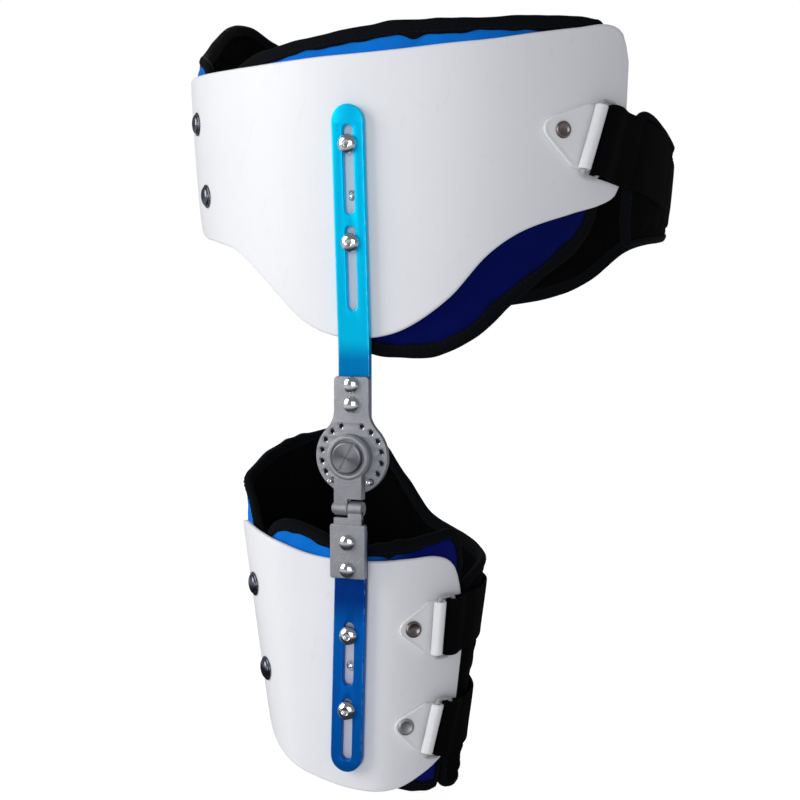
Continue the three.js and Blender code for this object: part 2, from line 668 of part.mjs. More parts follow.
function arc(path, s, n, radius, fromDegrees, toDegrees, steps) {
  for (let k = 0; k <= steps; k += 1) {
    const turn = radians(fromDegrees + ((toDegrees - fromDegrees) * k) / steps);
    path.push(new THREE.Vector2(s + radius * Math.cos(turn), n + radius * Math.sin(turn)));
  }
}

function strapPath(chafe, floor, step) {
  const ringN = chafe.base + GAP + WEBBING / 2 + FOLD;
  const lower = (s) => floor(chafeAngle(chafe, s)) + STRAP_GAP + WEBBING / 2;
  const path = [];
  const settle = RING.span + 15;
  for (const s of [chafe.tail, (chafe.tail + settle) / 2, settle]) {
    path.push(new THREE.Vector2(s, lower(s) + WEBBING + 2 * GAP));
  }
  path.push(new THREE.Vector2(RING.span + 6, ringN + FOLD - 2));
  arc(path, RING.span, ringN, FOLD, 90, 270, 6);
  const run = Math.ceil((chafe.last - RING.span) / step);
  for (let k = 1; k <= run; k += 1) {
    const s = RING.span + ((chafe.last - RING.span) * k) / run;
    path.push(new THREE.Vector2(s, lower(s)));
  }
  return path;
}

function tabPath(chafe) {
  const ringN = chafe.base + GAP + WEBBING / 2 + FOLD;
  const flat = chafe.base + GAP + TAB_THICK / 2;
  const path = [];
  for (const share of [1, 0.96, 0.88, 0.74, 0.5, 0.28]) {
    path.push(new THREE.Vector2(-chafe.length * share, flat));
  }
  path.push(new THREE.Vector2(-3.5, flat + 0.1));
  arc(path, 0, ringN, ROLL, 270, 550, 9);
  return path;
}

function tabHalf(chafe) {
  return (s) => {
    const fromTip = THREE.MathUtils.clamp((s + chafe.length) / (chafe.length - 7), 0, 1);
    const rounded = Math.sqrt(1 - (1 - Math.min(1, fromTip * 5)) ** 2);
    return 0.5 * chafe.tab * Math.min(1, 0.2 * rounded + 0.8 * fromTip) + 0.4;
  };
}

function ringShape(chafe) {
  const insideHalf = chafe.strap / 2 + 0.8;
  const half = insideHalf + RING.side;
  const edge = RING.bar / 2;
  const shape = new THREE.Shape();
  shape.moveTo(-edge, -half + 2);
  shape.lineTo(-edge + 2, -half);
  shape.lineTo(RING.span + edge - 2, -half);
  shape.lineTo(RING.span + edge, -half + 2);
  shape.lineTo(RING.span + edge, half - 2);
  shape.lineTo(RING.span + edge - 2, half);
  shape.lineTo(-edge + 2, half);
  shape.lineTo(-edge, half - 2);
  const hole = new THREE.Path();
  hole.moveTo(edge, -insideHalf);
  hole.lineTo(edge, insideHalf);
  hole.lineTo(RING.span - edge, insideHalf);
  hole.lineTo(RING.span - edge, -insideHalf);
  shape.holes.push(hole);
  return shape;
}

function wrapped(geometry, map) {
  const p = geometry.attributes.position;
  for (let k = 0; k < p.count; k += 1) {
    const point = map(p.getX(k), p.getY(k), p.getZ(k));
    p.setXYZ(k, point.x, point.y, point.z);
  }
  return geometry;
}

function chafeSet(prefix, form, chafe, floor, step) {
  const map = chafeMap(form, chafe);
  const ringN = chafe.base + GAP + WEBBING / 2 + FOLD;
  add(`${prefix}_strap`, 'black', strip(strapPath(chafe, floor, step), WEBBING, 1, map, () => chafe.strap / 2));
  add(`${prefix}_chafe_tab`, 'white', strip(tabPath(chafe), TAB_THICK, 3, map, tabHalf(chafe)));
  const ring = new THREE.ExtrudeGeometry(ringShape(chafe), { depth: RING.bar, bevelEnabled: false });
  ring.translate(0, 0, ringN - RING.bar / 2);
  add(`${prefix}_ring`, 'ring', wrapped(ring, map));
  const { radius, thick, dish, dishDeep } = CHAFE_RIVET;
  const rows = [[0, 0], [radius, 0], [radius, thick * 0.45], [radius - 1, thick], [dish, thick],
    [dish - 1, thick - dishDeep], [0, thick - dishDeep]];
  const angle = chafeAngle(chafe, -chafe.rivet);
  const seat = map(-chafe.rivet, 0, chafe.base + TAB_THICK + 2 * GAP);
  turned(`${prefix}_chafe_rivet`, 'steel', rows, 14, seat, outward(form, angle, seat.z, chafe.base));
}

const pelvicFloor = (angle) => Math.max(SHELL_OUT, LINER + beltLift(angle - 360));
function thighFloor(angle) {
  const pad = LINER + padLift(angle - 360);
  return THREE.MathUtils.lerp(THIGH_SHELL_OUT, pad, THREE.MathUtils.smoothstep(angle, 80, 108));
}

chafeSet('pelvic', PELVIS_FORM, PELVIC_CHAFE, pelvicFloor, 9);
chafeSet('thigh_upper', THIGH_FORM, THIGH_CHAFES[0], thighFloor, 10);
chafeSet('thigh_lower', THIGH_FORM, THIGH_CHAFES[1], thighFloor, 10);

export default group;
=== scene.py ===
# Hip abduction brace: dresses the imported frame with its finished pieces, laid out as an add-on
import math

import bmesh
import bpy
import numpy as np
from bpy.props import FloatProperty, FloatVectorProperty, PointerProperty
from bpy.types import Operator, Panel, PropertyGroup
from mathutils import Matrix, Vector
from mathutils.kdtree import KDTree


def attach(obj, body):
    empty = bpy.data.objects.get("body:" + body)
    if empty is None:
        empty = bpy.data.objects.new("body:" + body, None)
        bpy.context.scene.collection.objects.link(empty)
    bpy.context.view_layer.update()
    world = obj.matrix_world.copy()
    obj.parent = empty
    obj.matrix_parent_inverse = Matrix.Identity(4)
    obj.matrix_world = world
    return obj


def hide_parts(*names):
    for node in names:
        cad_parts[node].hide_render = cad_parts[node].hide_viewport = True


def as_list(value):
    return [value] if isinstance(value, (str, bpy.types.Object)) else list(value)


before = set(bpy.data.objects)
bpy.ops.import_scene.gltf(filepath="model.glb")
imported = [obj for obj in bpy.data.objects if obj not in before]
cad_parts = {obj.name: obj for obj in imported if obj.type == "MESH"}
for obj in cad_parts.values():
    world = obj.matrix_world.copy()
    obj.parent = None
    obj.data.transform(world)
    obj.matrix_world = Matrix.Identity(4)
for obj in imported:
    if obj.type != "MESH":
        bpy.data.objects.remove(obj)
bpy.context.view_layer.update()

bl_info = {
    "name": "Hip abduction brace",
    "version": (1, 0, 0),
    "blender": (4, 5, 0),
    "location": "View3D > Sidebar > Brace",
    "description": "Builds the shells, pads, bars, hinge, fasteners, webbing and stage of a hip brace",
    "category": "Object",
}

MM = 0.001

# Layers of the cuffs in millimetres, counted outward from the skin
GAP = 0.3
LINER = 6.0
SHELL = 3.5
SHELL_IN = LINER + GAP
SHELL_OUT = SHELL_IN + SHELL
WEBBING = 2.0
STRAP_GAP = 0.55
THIGH_SHELL_IN = LINER + WEBBING + 2 * STRAP_GAP
THIGH_SHELL_OUT = THIGH_SHELL_IN + SHELL
THIGH_LINER_OUT = THIGH_SHELL_IN - 2 * GAP

# Meshing: where a grid has lines beside its edge, its cells, and the angle above which an edge is sharp
SHELL_MARGINS = (0, 0.12, 0.4, 0.8, 1.3, 2.0, 3.4)
SHELL_CELL = 3.5
PAD_MARGINS = (0, 0.25, 0.8, 1.7, 3.2, 5.5)
STRAP_MARGINS = (0, 0.1, 0.35, 0.75, 1.3, 2.2)
CRISP = 34
WELD = 1e-4


class Table:
    """Rows of named columns, read along the first column by a smooth curve."""

    def __init__(self, names, *rows):
        self.names = names.split()
        self.rows = np.array(rows, float)

    def column(self, name):
        return self.rows[:, self.names.index(name)]

    def read(self, at, name):
        x = self.rows[:, 0]
        y = self.column(name)
        at = np.clip(at, x[0], x[-1])
        k = np.clip(np.searchsorted(x, at) - 1, 0, len(x) - 2)
        order = np.arange(len(x))
        ahead = np.minimum(order + 1, len(x) - 1)
        behind = np.maximum(order - 1, 0)
        slope = (y[ahead] - y[behind]) / (x[ahead] - x[behind])
        span = x[k + 1] - x[k]
        t = (at - x[k]) / span
        ease = t * t * (3 - 2 * t)
        curve = t * (1 - t) * ((1 - t) * slope[k] - t * slope[k + 1]) * span
        return y[k] * (1 - ease) + y[k + 1] * ease + curve


# Sections of the two hollows: half sizes along X (depth) and Y (width), and the middle of each section
PELVIS_FORM = Table(
    "z mid_x mid_y depth width",
    (-120, -2, 0, 143, 133),
    (0, -2, 0, 155.5, 142),
    (60, -2, 0, 159, 146.5),
    (140, -2, 0, 162, 151),
)
THIGH_FORM = Table(
    "z mid_x mid_y depth width",
    (-395, -6, -112.3, 44.6, 40.9),
    (-375, -7.6, -108.5, 47.6, 43.6),
    (-215, -20, -78.2, 71.6, 65.2),
    (-155, -24, -66.9, 80.6, 73.3),
)
# The thigh cuff is flatter where its bar lies
FLAT_FROM = 0.9
FLAT_KEEP = 0.25
FLAT_EASE = 0.02

# Outlines by angle round the hollow: 0 is the bar's side, positive to the front, negative to the back
PELVIC_SHELL_EDGE = Table(
    "angle bottom top",
    (-65, 4, 70), (-63, -14, 80), (-58, -25, 81.5), (-45, -31, 79), (-34, -38, 77), (-24, -57, 76),
    (-14, -81, 76), (-6, -91, 76.5), (3, -93, 77), (12, -87, 78.5), (22, -68, 81.5), (30, -43, 84),
    (38, -28, 88), (50, -17, 94), (58, -11, 98), (63, -4, 93), (65, 8, 78),
)
PELVIC_LINER_EDGE = Table(
    "angle bottom top",
    (-42, 0, 50), (-40, -14, 64), (-34, -28, 75), (-27, -42, 81), (-14, -72, 87), (-5, -90, 90),
    (3, -101, 92), (12, -104.5, 94), (20, -102.5, 95), (28, -92, 96.5), (38, -69, 98), (48, -49, 100),
    (55, -33, 101), (58, -18, 98), (59, 0, 84),
)
BELT_EDGE = Table(
    "angle bottom top lift",
    (-292.5, -22, 32, 4), (-291, -34, 42, 4.5), (-287, -34, 48.5, 5.4), (-277, -31.5, 42, 6.4),
    (-266, -29, 36, 7), (-246, -28, 38, 6), (-230, -34, 48, 3), (-217, -54, 58, 0.6), (-206, -64, 64, 0),
    (-186, -73, 78, 0), (-160, -68, 96, 0), (-130, -48, 118, 0), (-113, -35, 131, 0),
    (-103, -27, 138.5, 0), (-90, -20, 133, 0), (-78, -14, 118, 0), (-66, -12, 102, 0),
    (-60, -11.5, 97, 0), (-54, -11, 92.5, 0), (-48, -9, 86, 0), (-45, -5, 74, 0), (-44, 4, 60, 0),
)
THIGH_SHELL_EDGE = Table(
    "angle bottom top",
    (-66, -322, -226), (-64, -336, -218), (-56, -348, -214.5), (-46, -355, -215.5), (-26, -363, -221),
    (-9, -368, -227.5), (6, -371, -230), (24, -372, -230), (40, -370, -229), (54, -364, -229),
    (64, -359, -236), (71, -354, -254), (76, -346, -276), (78, -332, -294),
)
THIGH_LINER_EDGE = Table(
    "angle bottom top",
    (-39, -320, -236), (-37.5, -336, -223), (-32, -347, -213.5), (-24, -355, -209.5), (-13, -360, -211),
    (0, -363, -217.5), (18, -367, -222), (38, -371, -220), (54, -375.5, -216), (64, -377.5, -214.5),
    (71, -377.5, -222), (74.5, -376, -233), (76.3, -368, -247),
)
THIGH_PAD_EDGE = Table(
    "angle bottom top lift",
    (-280.5, -368, -262, 2.6), (-279, -377, -252, 3), (-268, -381, -243, 6), (-252, -381.5, -239, 7),
    (-234, -381, -235.5, 6), (-216, -380, -230, 3), (-200, -378, -223, 0.6), (-191, -376, -211, 0),
    (-181, -375, -195, 0), (-171, -374, -178, 0), (-162, -372, -167, 0), (-146, -369, -163, 0),
    (-122, -362, -169, 0), (-96, -352, -179, 0), (-80, -344, -188, 0), (-66, -336, -203, 0),
    (-55, -331, -217, 0), (-45, -326, -227, 0), (-41, -314, -240, 0),
)

# The belt's top leans inward behind the shell, and the thigh pad flares a little beside its shell
BELT_HUMP = dict(angle=-80, spread=24, lean=8.5, low=74, high=112)
PAD_FLARE = dict(angle=-77, spread=8, out=4.5, low=-236, high=-220)
# Where the black loop cloth at the front of the outer faces ends
PATCH_ENDS = {"pelvic_belt": -222, "thigh_pad": -168}

# Pads: slack inside the layer, dents, the swell of a covered face, and the cloth held beside the tape
PAD = dict(slack=0.5, dent=0.5, tight=0.3, held=1.0)
SWELL = dict(frames=20, quality=5, pressure=4, shrink=-0.05, drift=0.001)
# The cloth beside the tape: a groove, puckers at stray distances, and the tuck under the tape
GROOVE = dict(deep=0.6, at=0.6, wide=1.6)
PUCKER = dict(high=0.45, at=3, wide=8, every=19, stray=1.6, stray_every=37, inner=1.2)
TUCK = dict(deep=0.6, before=1, after=2)
# Binding tape: the outer leg's share of the inner leg, where the tape's ends lap, and how the lap looks
FOLDS = {"pelvic_liner": 1.0, "pelvic_belt": 0.5, "thigh_liner": 1.0, "thigh_pad": 0.6}
LAPS = {"pelvic_liner": 14, "pelvic_belt": -150, "thigh_liner": 30, "thigh_pad": -120}
LAP = dict(wide=1.8, beside=5, fade=3, pull=2.2)
BINDING = dict(step=2.2, under=1.3, jitter=0.13, round=0.08, crown=0.16, draw=1.3, sway=0.5)
# Waves along the tape: height, count round the edge and start
UNEVEN = ((0.45, 13, 1), (0.35, 29, 2), (0.25, 53, 0))
SWING = ((0.8, 9, 0.6), (0.5, 23, 0))

# Bars
BAR = dict(width=20.5, thick=4.5, slot=7.0, corner=1.2, ease=3.0)
UPPER_BAR = dict(
    foot=-142, plumb_y=-145, bend=-100, lean=0.0745, top=47, slots=((-76, -25), (-18, 35)),
    screws=(-35, 23.5), insert=-6.5,
)
LOWER_BAR = dict(
    foot=-210, plumb_y=-152.1, bend=-240, lean=0.068, top=-359, slots=((-306, -267), (-352, -314)),
    screws=(-275, -321), insert=-295,
)
INSERT_BORE = 2.95
# The way the bars' and plates' faces look
OUT = (0, -1, 0)

# Flexion hinge and abduction knuckles
HINGE_Z = -165.0
HEAD = dict(width=23, thick=4, top=-116, shoulder=-137, back=-149.8, radius=23.5, corner=1.5, meet=44)
# A near-black disc inside the head paints shade at the bottom of the dial's holes: its thickness, bevel,
# depth behind the back face and inset from the rim
SHADE_DISC = dict(thick=1.6, bevel=0.1, deep=1.0, inset=1)
HOLES = dict(circle=19.8, radius=1.8, step=20, each=7)
STOP_PIN = dict(radius=1.5, proud=5.0)
ARM = dict(width=18.4, thick=6, radius=14, bottom=-190.6)
PIVOT = dict(bore=4.3, head=10.1, thick=2.6, slot=1.6, deep=1.2, turn=30)
KNUCKLE = dict(y=-157, z=-196.5, radius=4.4, bore=2.3, pin=2.0, cap_radius=3.4, cap=1.8)
LEAF = dict(width=23, thick=4, top=-206, bottom=-239.4, back=-156.9)
HEAD_FRONT = HEAD["back"] - HEAD["thick"]
ARM_BACK = HEAD_FRONT - GAP
ARM_FRONT = ARM_BACK - ARM["thick"]
LEAF_FRONT = LEAF["back"] - LEAF["thick"]
HEAD_SCREWS = (-121, -133)
LEAF_SCREWS = (-217, -234)

# Rear rivets by angle and height
PELVIC_RIVETS = ((-52.5, 49), (-48.5, 0))
THIGH_RIVETS = ((-50, -254), (-48, -307))

# Chafes: a tab riveted to the shell, rolled over one bar of a ring; the strap folds over the other bar
RING = dict(bar=3.4, span=11, corner=2.6, end=0.95, play=0.3)
TAB_THICK = 1.5
TAB_RIM = dict(high=0.55, flat=1.3, wide=2.6, edge=0.8, fades=-8, gone=-4)
ROLL = RING["bar"] * math.sqrt(0.5) + GAP + TAB_THICK / 2
FOLD = RING["bar"] * math.sqrt(0.5) + GAP + WEBBING / 2
PELVIC_CHAFE = dict(
    name="pelvic", form=PELVIS_FORM, body="pelvis", under="pelvic_belt_cloth", eyelet="eyelet",
    base=SHELL_OUT, angle=52.8, z=29, lean=17, around=166, strap=45, tab=40, length=33, rivet=20,
    tail=42, last=92, end_z=14,
)
THIGH_UPPER_CHAFE = dict(
    name="thigh_upper", form=THIGH_FORM, body="thigh", under="thigh_pad_cloth", eyelet="eyelet",
    base=THIGH_SHELL_OUT, angle=53.7, z=-272, lean=0, around=84, strap=35, tab=32, length=27, rivet=17,
    tail=40, last=388, end_z=-254,
)
THIGH_LOWER_CHAFE = dict(
    name="thigh_lower", form=THIGH_FORM, body="thigh", under="thigh_pad_cloth", eyelet="dull_eyelet",
    base=THIGH_SHELL_OUT, angle=54.6, z=-334, lean=12, around=74, strap=33, tab=29, length=26, rivet=18,
    tail=38, last=341, end_z=-307,
)
CHAFES = (PELVIC_CHAFE, THIGH_UPPER_CHAFE, THIGH_LOWER_CHAFE)
# Straps: cells, end corners, the rounding of selvedges, how they fall from the ring, and their slight hang
STRAP = dict(
    cell=2.6, corner=3.0, lip=0.9, tail_fall=15, run_fall=10, straighten=60, drop=0.6,
    hang_from=30, hang_full=60, sag=0.2,
)
# The angles between which a thigh strap comes down from the shell to the pad
SHELL_END = (80, 108)

# The view of the photograph, in metres
CAMERA_AT = (0.2982, -0.8860, -0.0695)
CAMERA_LOOK = (-0.341, 0.9369, -0.0767)
CAMERA_LENS = 58.5
CAMERA_SENSOR = 36.0
# Area lights aimed at one spot: place and size in metres, power and colour
LIGHTS = {
    "key": ((-1.5, -1.1, 0.5), 1.3, 23.5, (1.0, 0.99, 0.97)),
    "fill": ((0.45, -1.8, -0.1), 1.2, 12.5, (0.92, 0.95, 1.0)),
    "rim": ((-0.6, 1.4, 1.0), 1.0, 7, (1, 1, 1)),
}
LIGHT_AIM = (0, 0, -0.1)
GLOW_COLOUR = (0.94, 0.96, 1, 1)
GLOW_STRENGTH = 0.2
# The floor looks bright, lights the brace dimly, and is dark in mirrors near the brace
FLOOR_HALF = 6000
FLOOR_Z = -392
FLOOR_DIM = (0.3, 0.3, 0.31)
FLOOR_DARK = (0.02, 0.02, 0.022)
FLOOR_BRIGHT = (0.94, 0.94, 0.94)

# Settings that the finishes share
NOISE_ROUGHNESS = 0.55
BUMP_STRENGTH = 0.6


def length_property(name, description, default):
    return FloatProperty(name=name, description=description, default=default, unit="LENGTH", precision=5)


def colour_property(name, description, default):
    return FloatVectorProperty(
        name=name, description=description, default=default, size=3, min=0, max=1, subtype="COLOR"
    )


class BraceSizes(PropertyGroup):
    """Sizes that a maker would change without redrawing the brace."""

    shell_rim: length_property("Shell rim", "Radius of the shells' rounded edges", 0.0016)
    bar_bevel: length_property("Bar bevel", "Rounding of the bars' edges", 0.0006)
    plate_bevel: length_property("Plate bevel", "Rounding of the hinge plates' edges", 0.0005)
    pad_cell: length_property("Pad cell", "Size of the pads' cloth cells", 0.0042)
    swell_in: length_property("Swell inward", "How far a pad may swell towards the skin", 0.0022)
    swell_out: length_property("Swell outward", "How far a free pad may swell outward", 0.0022)
    pelvic_tape: length_property("Pelvic tape", "Width of the pelvic pads' binding on each face", 0.0078)
    thigh_tape: length_property("Thigh tape", "Width of the thigh pads' binding on each face", 0.006)
    binding_lift: length_property("Binding lift", "How far the binding stands off the pad", 0.00045)
    stitch_step: length_property("Stitch step", "Distance from stitch to stitch", 0.0042)
    stitch: length_property("Stitch", "Length of one stitch", 0.0028)
    thread: length_property("Thread", "Radius of the sewing thread", 0.00032)


class BraceColours(PropertyGroup):
    """Colours of the brace's finishes."""

    shell: colour_property("Shell", "White thermoplastic", (0.89, 0.895, 0.92))
    # The upper and lower bars are lit and shaded copies of one anodised blue: the upper bar's bright blue is
    # painted light, the lower bar's deep blue is painted shade
    upper_bar: colour_property("Upper bar", "Bright anodised blue", (0.0, 0.56, 0.93))
    # Painted shade on the lower bar's top beside the hinge leaf
    lower_top_shade: colour_property("Lower bar top", "Blue beside the hinge leaf", (0.0, 0.02, 0.18))
    # Painted shade on the upper bar below its bend
    upper_foot_shade: colour_property("Upper bar foot", "Blue below the upper bar's bend", (0.0, 0.15, 0.52))
    # Painted shade: the lower bar's deep blue is a shaded copy of the upper bar's blue
    lower_bar: colour_property("Lower bar", "Deep anodised blue", (0.0, 0.125, 0.52))
    liner: colour_property("Liner", "Blue outer cloth of the pads", (0.004, 0.25, 0.95))
    # Painted shade on the blue cloth: below the shell on the pelvic liner, towards the front on the thigh
    # cloth
    liner_painted_shade: colour_property("Liner low", "Blue cloth hanging below the shell", (0.0006, 0.0042, 0.105))
    lining: colour_property("Lining", "Black inner cloth of the pads", (0.002, 0.002, 0.0024))
    binding: colour_property("Binding", "Binding tape", (0.003, 0.0034, 0.0045))
    webbing: colour_property("Webbing", "Straps", (0.0015, 0.0015, 0.0019))
    steel: colour_property("Steel", "Blasted steel of the hinge", (0.36, 0.365, 0.395))
    chrome: colour_property("Chrome", "Bright screws", (0.78, 0.79, 0.81))
    rivet: colour_property("Rivet", "Dark rear rivets", (0.15, 0.16, 0.19))
    eyelet: colour_property("Eyelet", "Dished eyelets", (0.30, 0.25, 0.25))
    tab: colour_property("Tab", "White tabs and rings", (0.92, 0.92, 0.93))
    floor: colour_property("Floor", "Pale floor", (0.3, 0.3, 0.3))


# Shader arithmetic
class Wire:
    """A shader socket that takes part in Python arithmetic on single values."""

    def __init__(self, finish, socket):
        self.finish = finish
        self.socket = socket

    def math(self, operation, *others):
        return self.finish.node("Math", dict(operation=operation), dict(enumerate((self, *others))))

    def swapped(self, operation, other):
        return self.finish.node("Math", dict(operation=operation), {0: other, 1: self})

    def __add__(self, other):
        return self.math("ADD", other)

    def __sub__(self, other):
        return self.math("SUBTRACT", other)

    def __rsub__(self, other):
        return self.swapped("SUBTRACT", other)

    def __mul__(self, other):
        return self.math("MULTIPLY", other)

    __radd__ = __add__
    __rmul__ = __mul__

    def __abs__(self):
        return self.math("ABSOLUTE")

    def sin(self):
        return self.math("SINE")

    def step(self, low, high):
        """0 below low, 1 above high, eased between them."""
        settings = dict(interpolation_type="SMOOTHSTEP", clamp=True)
        return self.finish.node("MapRange", settings, {"Value": self, "From Min": low, "From Max": high})


class Finish:
    """A material made of nodes, with one Principled shader."""

    def __init__(self, name, constants):
        self.material = bpy.data.materials.new(name)
        self.material.use_nodes = True
        self.tree = self.material.node_tree
        self.shader = self.tree.nodes["Principled BSDF"]
        for socket, value in constants.items():
            self.shader.inputs[socket].default_value = value

    def node(self, kind, settings=None, inputs=None, output=0):
        made = self.tree.nodes.new("ShaderNode" + kind)
        for name, value in (settings or {}).items():
            setattr(made, name, value)
        for key, value in (inputs or {}).items():
            if isinstance(value, Wire):
                self.tree.links.new(value.socket, made.inputs[key])
            else:
                made.inputs[key].default_value = value
        return Wire(self, made.outputs[output])

    def place(self, scale=(1, 1, 1), turn=(0, 0, 0)):
        """Object coordinates in metres, scaled and turned."""
        where = self.node("TexCoord", output="Object")
        return self.node("Mapping", dict(vector_type="TEXTURE"), {
            "Vector": where, "Rotation": turn, "Scale": tuple(1 / s for s in scale),
        })

    def axes(self, vector):
        made = self.node("SeparateXYZ", inputs={0: vector}).socket.node
        return [Wire(self, out) for out in made.outputs]

    def cloth_axes(self):
        """Metres along and across the cloth."""
        return self.axes(self.node("UVMap", dict(uv_map="cloth")))[:2]

    def noise(self, vector, scale, detail):
        inputs = {"Vector": vector, "Scale": scale, "Detail": detail, "Roughness": NOISE_ROUGHNESS}
        return self.node("TexNoise", inputs=inputs)

    def mix(self, share, first, second):
        def full(colour):
            return colour if isinstance(colour, Wire) else (*colour, 1)
        inputs = {0: share, 6: full(first), 7: full(second)}
        return self.node("Mix", dict(data_type="RGBA"), inputs, output=2)

    def fade(self, along, start, first, end, second):
        """The first colour at the start of a value's way, eased to the second at its end."""
        if start > end:
            start, first, end, second = end, second, start, first
        return self.mix(along.step(start, end), first, second)

    def feed(self, height=None, depth=0.0, **wires):
        """Links wires to the shader: base, rough or glow, and a height with its depth in metres."""
        names = dict(base="Base Color", rough="Roughness", glow="Emission Color")
        for key, wire in wires.items():
            self.tree.links.new(wire.socket, self.shader.inputs[names[key]])
        if height is not None:
            inputs = {"Strength": BUMP_STRENGTH, "Distance": depth, "Height": height}
            normal = self.node("Bump", inputs=inputs)
            self.tree.links.new(normal.socket, self.shader.inputs["Normal"])
        return self.material


def tinted(colour, share):
    """A colour made darker or lighter by a share."""
    return tuple(min(1.0, part * share) for part in colour)


def plastic_finish(name, colour, rough, peel):
    """Moulded white plastic: slight clouding, orange peel, a few dull scuffs."""
    made = Finish(name, {"Specular IOR Level": 0.42, "IOR": 1.49})
    where = made.place()
    cloud = made.noise(where, 14, 4)
    scuff = made.noise(made.place((220, 220, 30), (0.4, 0.2, 0.3)), 1.0, 2).step(0.62, 0.74)
    grain = made.noise(where, 1100, 2)
    base = made.mix(cloud, tinted(colour, 0.955), tinted(colour, 1.03))
    base = made.mix(scuff * 0.25, base, tinted(colour, 0.9))
    dull = rough + 0.12 * cloud + 0.12 * scuff
    return made.feed(base=base, rough=dull, height=grain + 0.5 * scuff, depth=peel)


def anodised_finish(name, colour, deep, near, far):
    """Brushed anodised bar with painted shade, its colour darkening to deep from the height near to the
    height far, worn along its edges.
    """
    made = Finish(name, {"Metallic": 0.6, "Specular IOR Level": 0.08})
    where = made.place()
    x, _, z = made.axes(where)
    streak = made.noise(made.place((2600, 2600, 22)), 1.0, 3)
    cloud = made.noise(where, 60, 2)
    # Painted shade: darker from near to far, below the upper bar's bend and beside the hinge leaf on the
    # lower bar
    base = made.fade(z, near, colour, far, deep)
    base = made.mix(0.3 * streak, base, tinted(colour, 1.25))
    edge = abs(x)
    bevel = edge.step(0.0095, 0.0099) * (1 - edge.step(0.01, 0.0102))
    worn = bevel * made.noise(where, 240, 3).step(0.45, 0.6)
    base = made.mix(0.3 * worn, base, (0.3, 0.55, 0.72))
    return made.feed(base=base, rough=0.24 + 0.16 * streak + 0.06 * cloud, height=streak, depth=0.00005)


def steel_finish(name, colour):
    """Blasted and plated steel with faint handling marks."""
    made = Finish(name, {"Metallic": 0.62, "Specular IOR Level": 0.5})
    where = made.place()
    cloud = made.noise(where, 120, 4)
    grain = made.noise(where, 2600, 2)
    scratch = made.noise(made.place((900, 900, 90), (0, 0.7, 0)), 1.0, 2).step(0.63, 0.7)
    speck = made.noise(where, 1500, 3).step(0.35, 0.65)
    base = made.mix(cloud, tinted(colour, 0.82), tinted(colour, 1.1))
    base = made.mix(0.3 * speck, base, tinted(colour, 0.55))
    base = made.mix(0.35 * scratch, base, tinted(colour, 1.5))
    height = grain + speck - 0.5 * scratch
    return made.feed(base=base, rough=0.36 + 0.14 * cloud, height=height, depth=0.00014)


def spun_finish(name, colour):
    """Face-turned screw head: fine rings, and a painted fan-shaped sheen about the pivot, lighter and darker
    by angle.
    """
    made = Finish(name, {"Metallic": 0.8, "Specular IOR Level": 0.5})
    where = made.place()
    x, _, z = made.axes(where)
    up = z - HINGE_Z * MM
    around = x.math("ARCTAN2", up)
    radius = (x * x + up * up).math("SQRT")
    # Painted sheen: the colour turns lighter and darker round the pivot like the reflection of a turned face
    fan = (around * 2 + 0.9).sin() * 0.5 + 0.5
    rings = (radius * (2 * math.pi / 0.0006)).sin()
    cloud = made.noise(where, 300, 3)
    base = made.mix(fan * 0.75 + 0.2 * cloud, tinted(colour, 0.22), tinted(colour, 1.1))
    return made.feed(base=base, rough=0.26 + 0.1 * cloud, height=rings, depth=0.00003)


def bright_finish(name, colour, rough):
    """Polished or plated fastener metal with smudges."""
    made = Finish(name, {"Metallic": 1.0})
    where = made.place()
    smudge = made.noise(where, 420, 4)
    swirl = made.noise(made.place((1500, 1500, 260)), 1.0, 2)
    base = made.mix(smudge, tinted(colour, 0.88), tinted(colour, 1.08))
    return made.feed(base=base, rough=rough + 0.1 * smudge, height=swirl, depth=0.00002)


def knit_finish(name, colour, deep, axis, shade_at, lit_at):
    """Blue knitted facing cloth with painted shade, turning to the shaded colour deep along an axis and
    darker in the rib valleys: fine ribs, slight pilling.
    """
    made = Finish(name, {"Specular IOR Level": 0.06, "Sheen Weight": 0.03, "Sheen Roughness": 0.5})
    along, across = made.cloth_axes()
    where = made.place()
    cloud = made.noise(where, 38, 4).step(0.3, 0.7)
    pill = made.noise(where, 900, 3)
    rib = (along * (2 * math.pi / 0.0016)).sin() * (across * (2 * math.pi / 0.0013)).sin()
    bright = made.mix(cloud, tinted(colour, 0.92), tinted(colour, 1.06))
    dark = made.mix(cloud, tinted(deep, 0.92), tinted(deep, 1.06))
    # Painted shade: from the bright tone to the dark tone along the axis
    base = made.fade(made.axes(where)[axis], shade_at, dark, lit_at, bright)
    # Painted shade in the rib valleys
    base = made.mix((0.5 - 0.5 * rib) * 0.45, base, tinted(deep, 0.5))
    return made.feed(base=base, rough=0.82 + 0.12 * pill, height=0.6 * rib + 0.6 * pill, depth=0.0004)


def brushed_finish(name, colour):
    """Black brushed lining cloth with a short nap."""
    made = Finish(name, {"Specular IOR Level": 0.03, "Sheen Weight": 0.005, "Sheen Roughness": 0.5})
    where = made.place()
    nap = made.noise(where, 1300, 4)
    lay = made.noise(made.place((300, 300, 60)), 1.0, 3)
    base = made.mix(lay, tinted(colour, 0.7), tinted(colour, 1.7))
    return made.feed(base=base, rough=0.86 + 0.1 * nap, height=nap + 0.6 * lay, depth=0.0004)


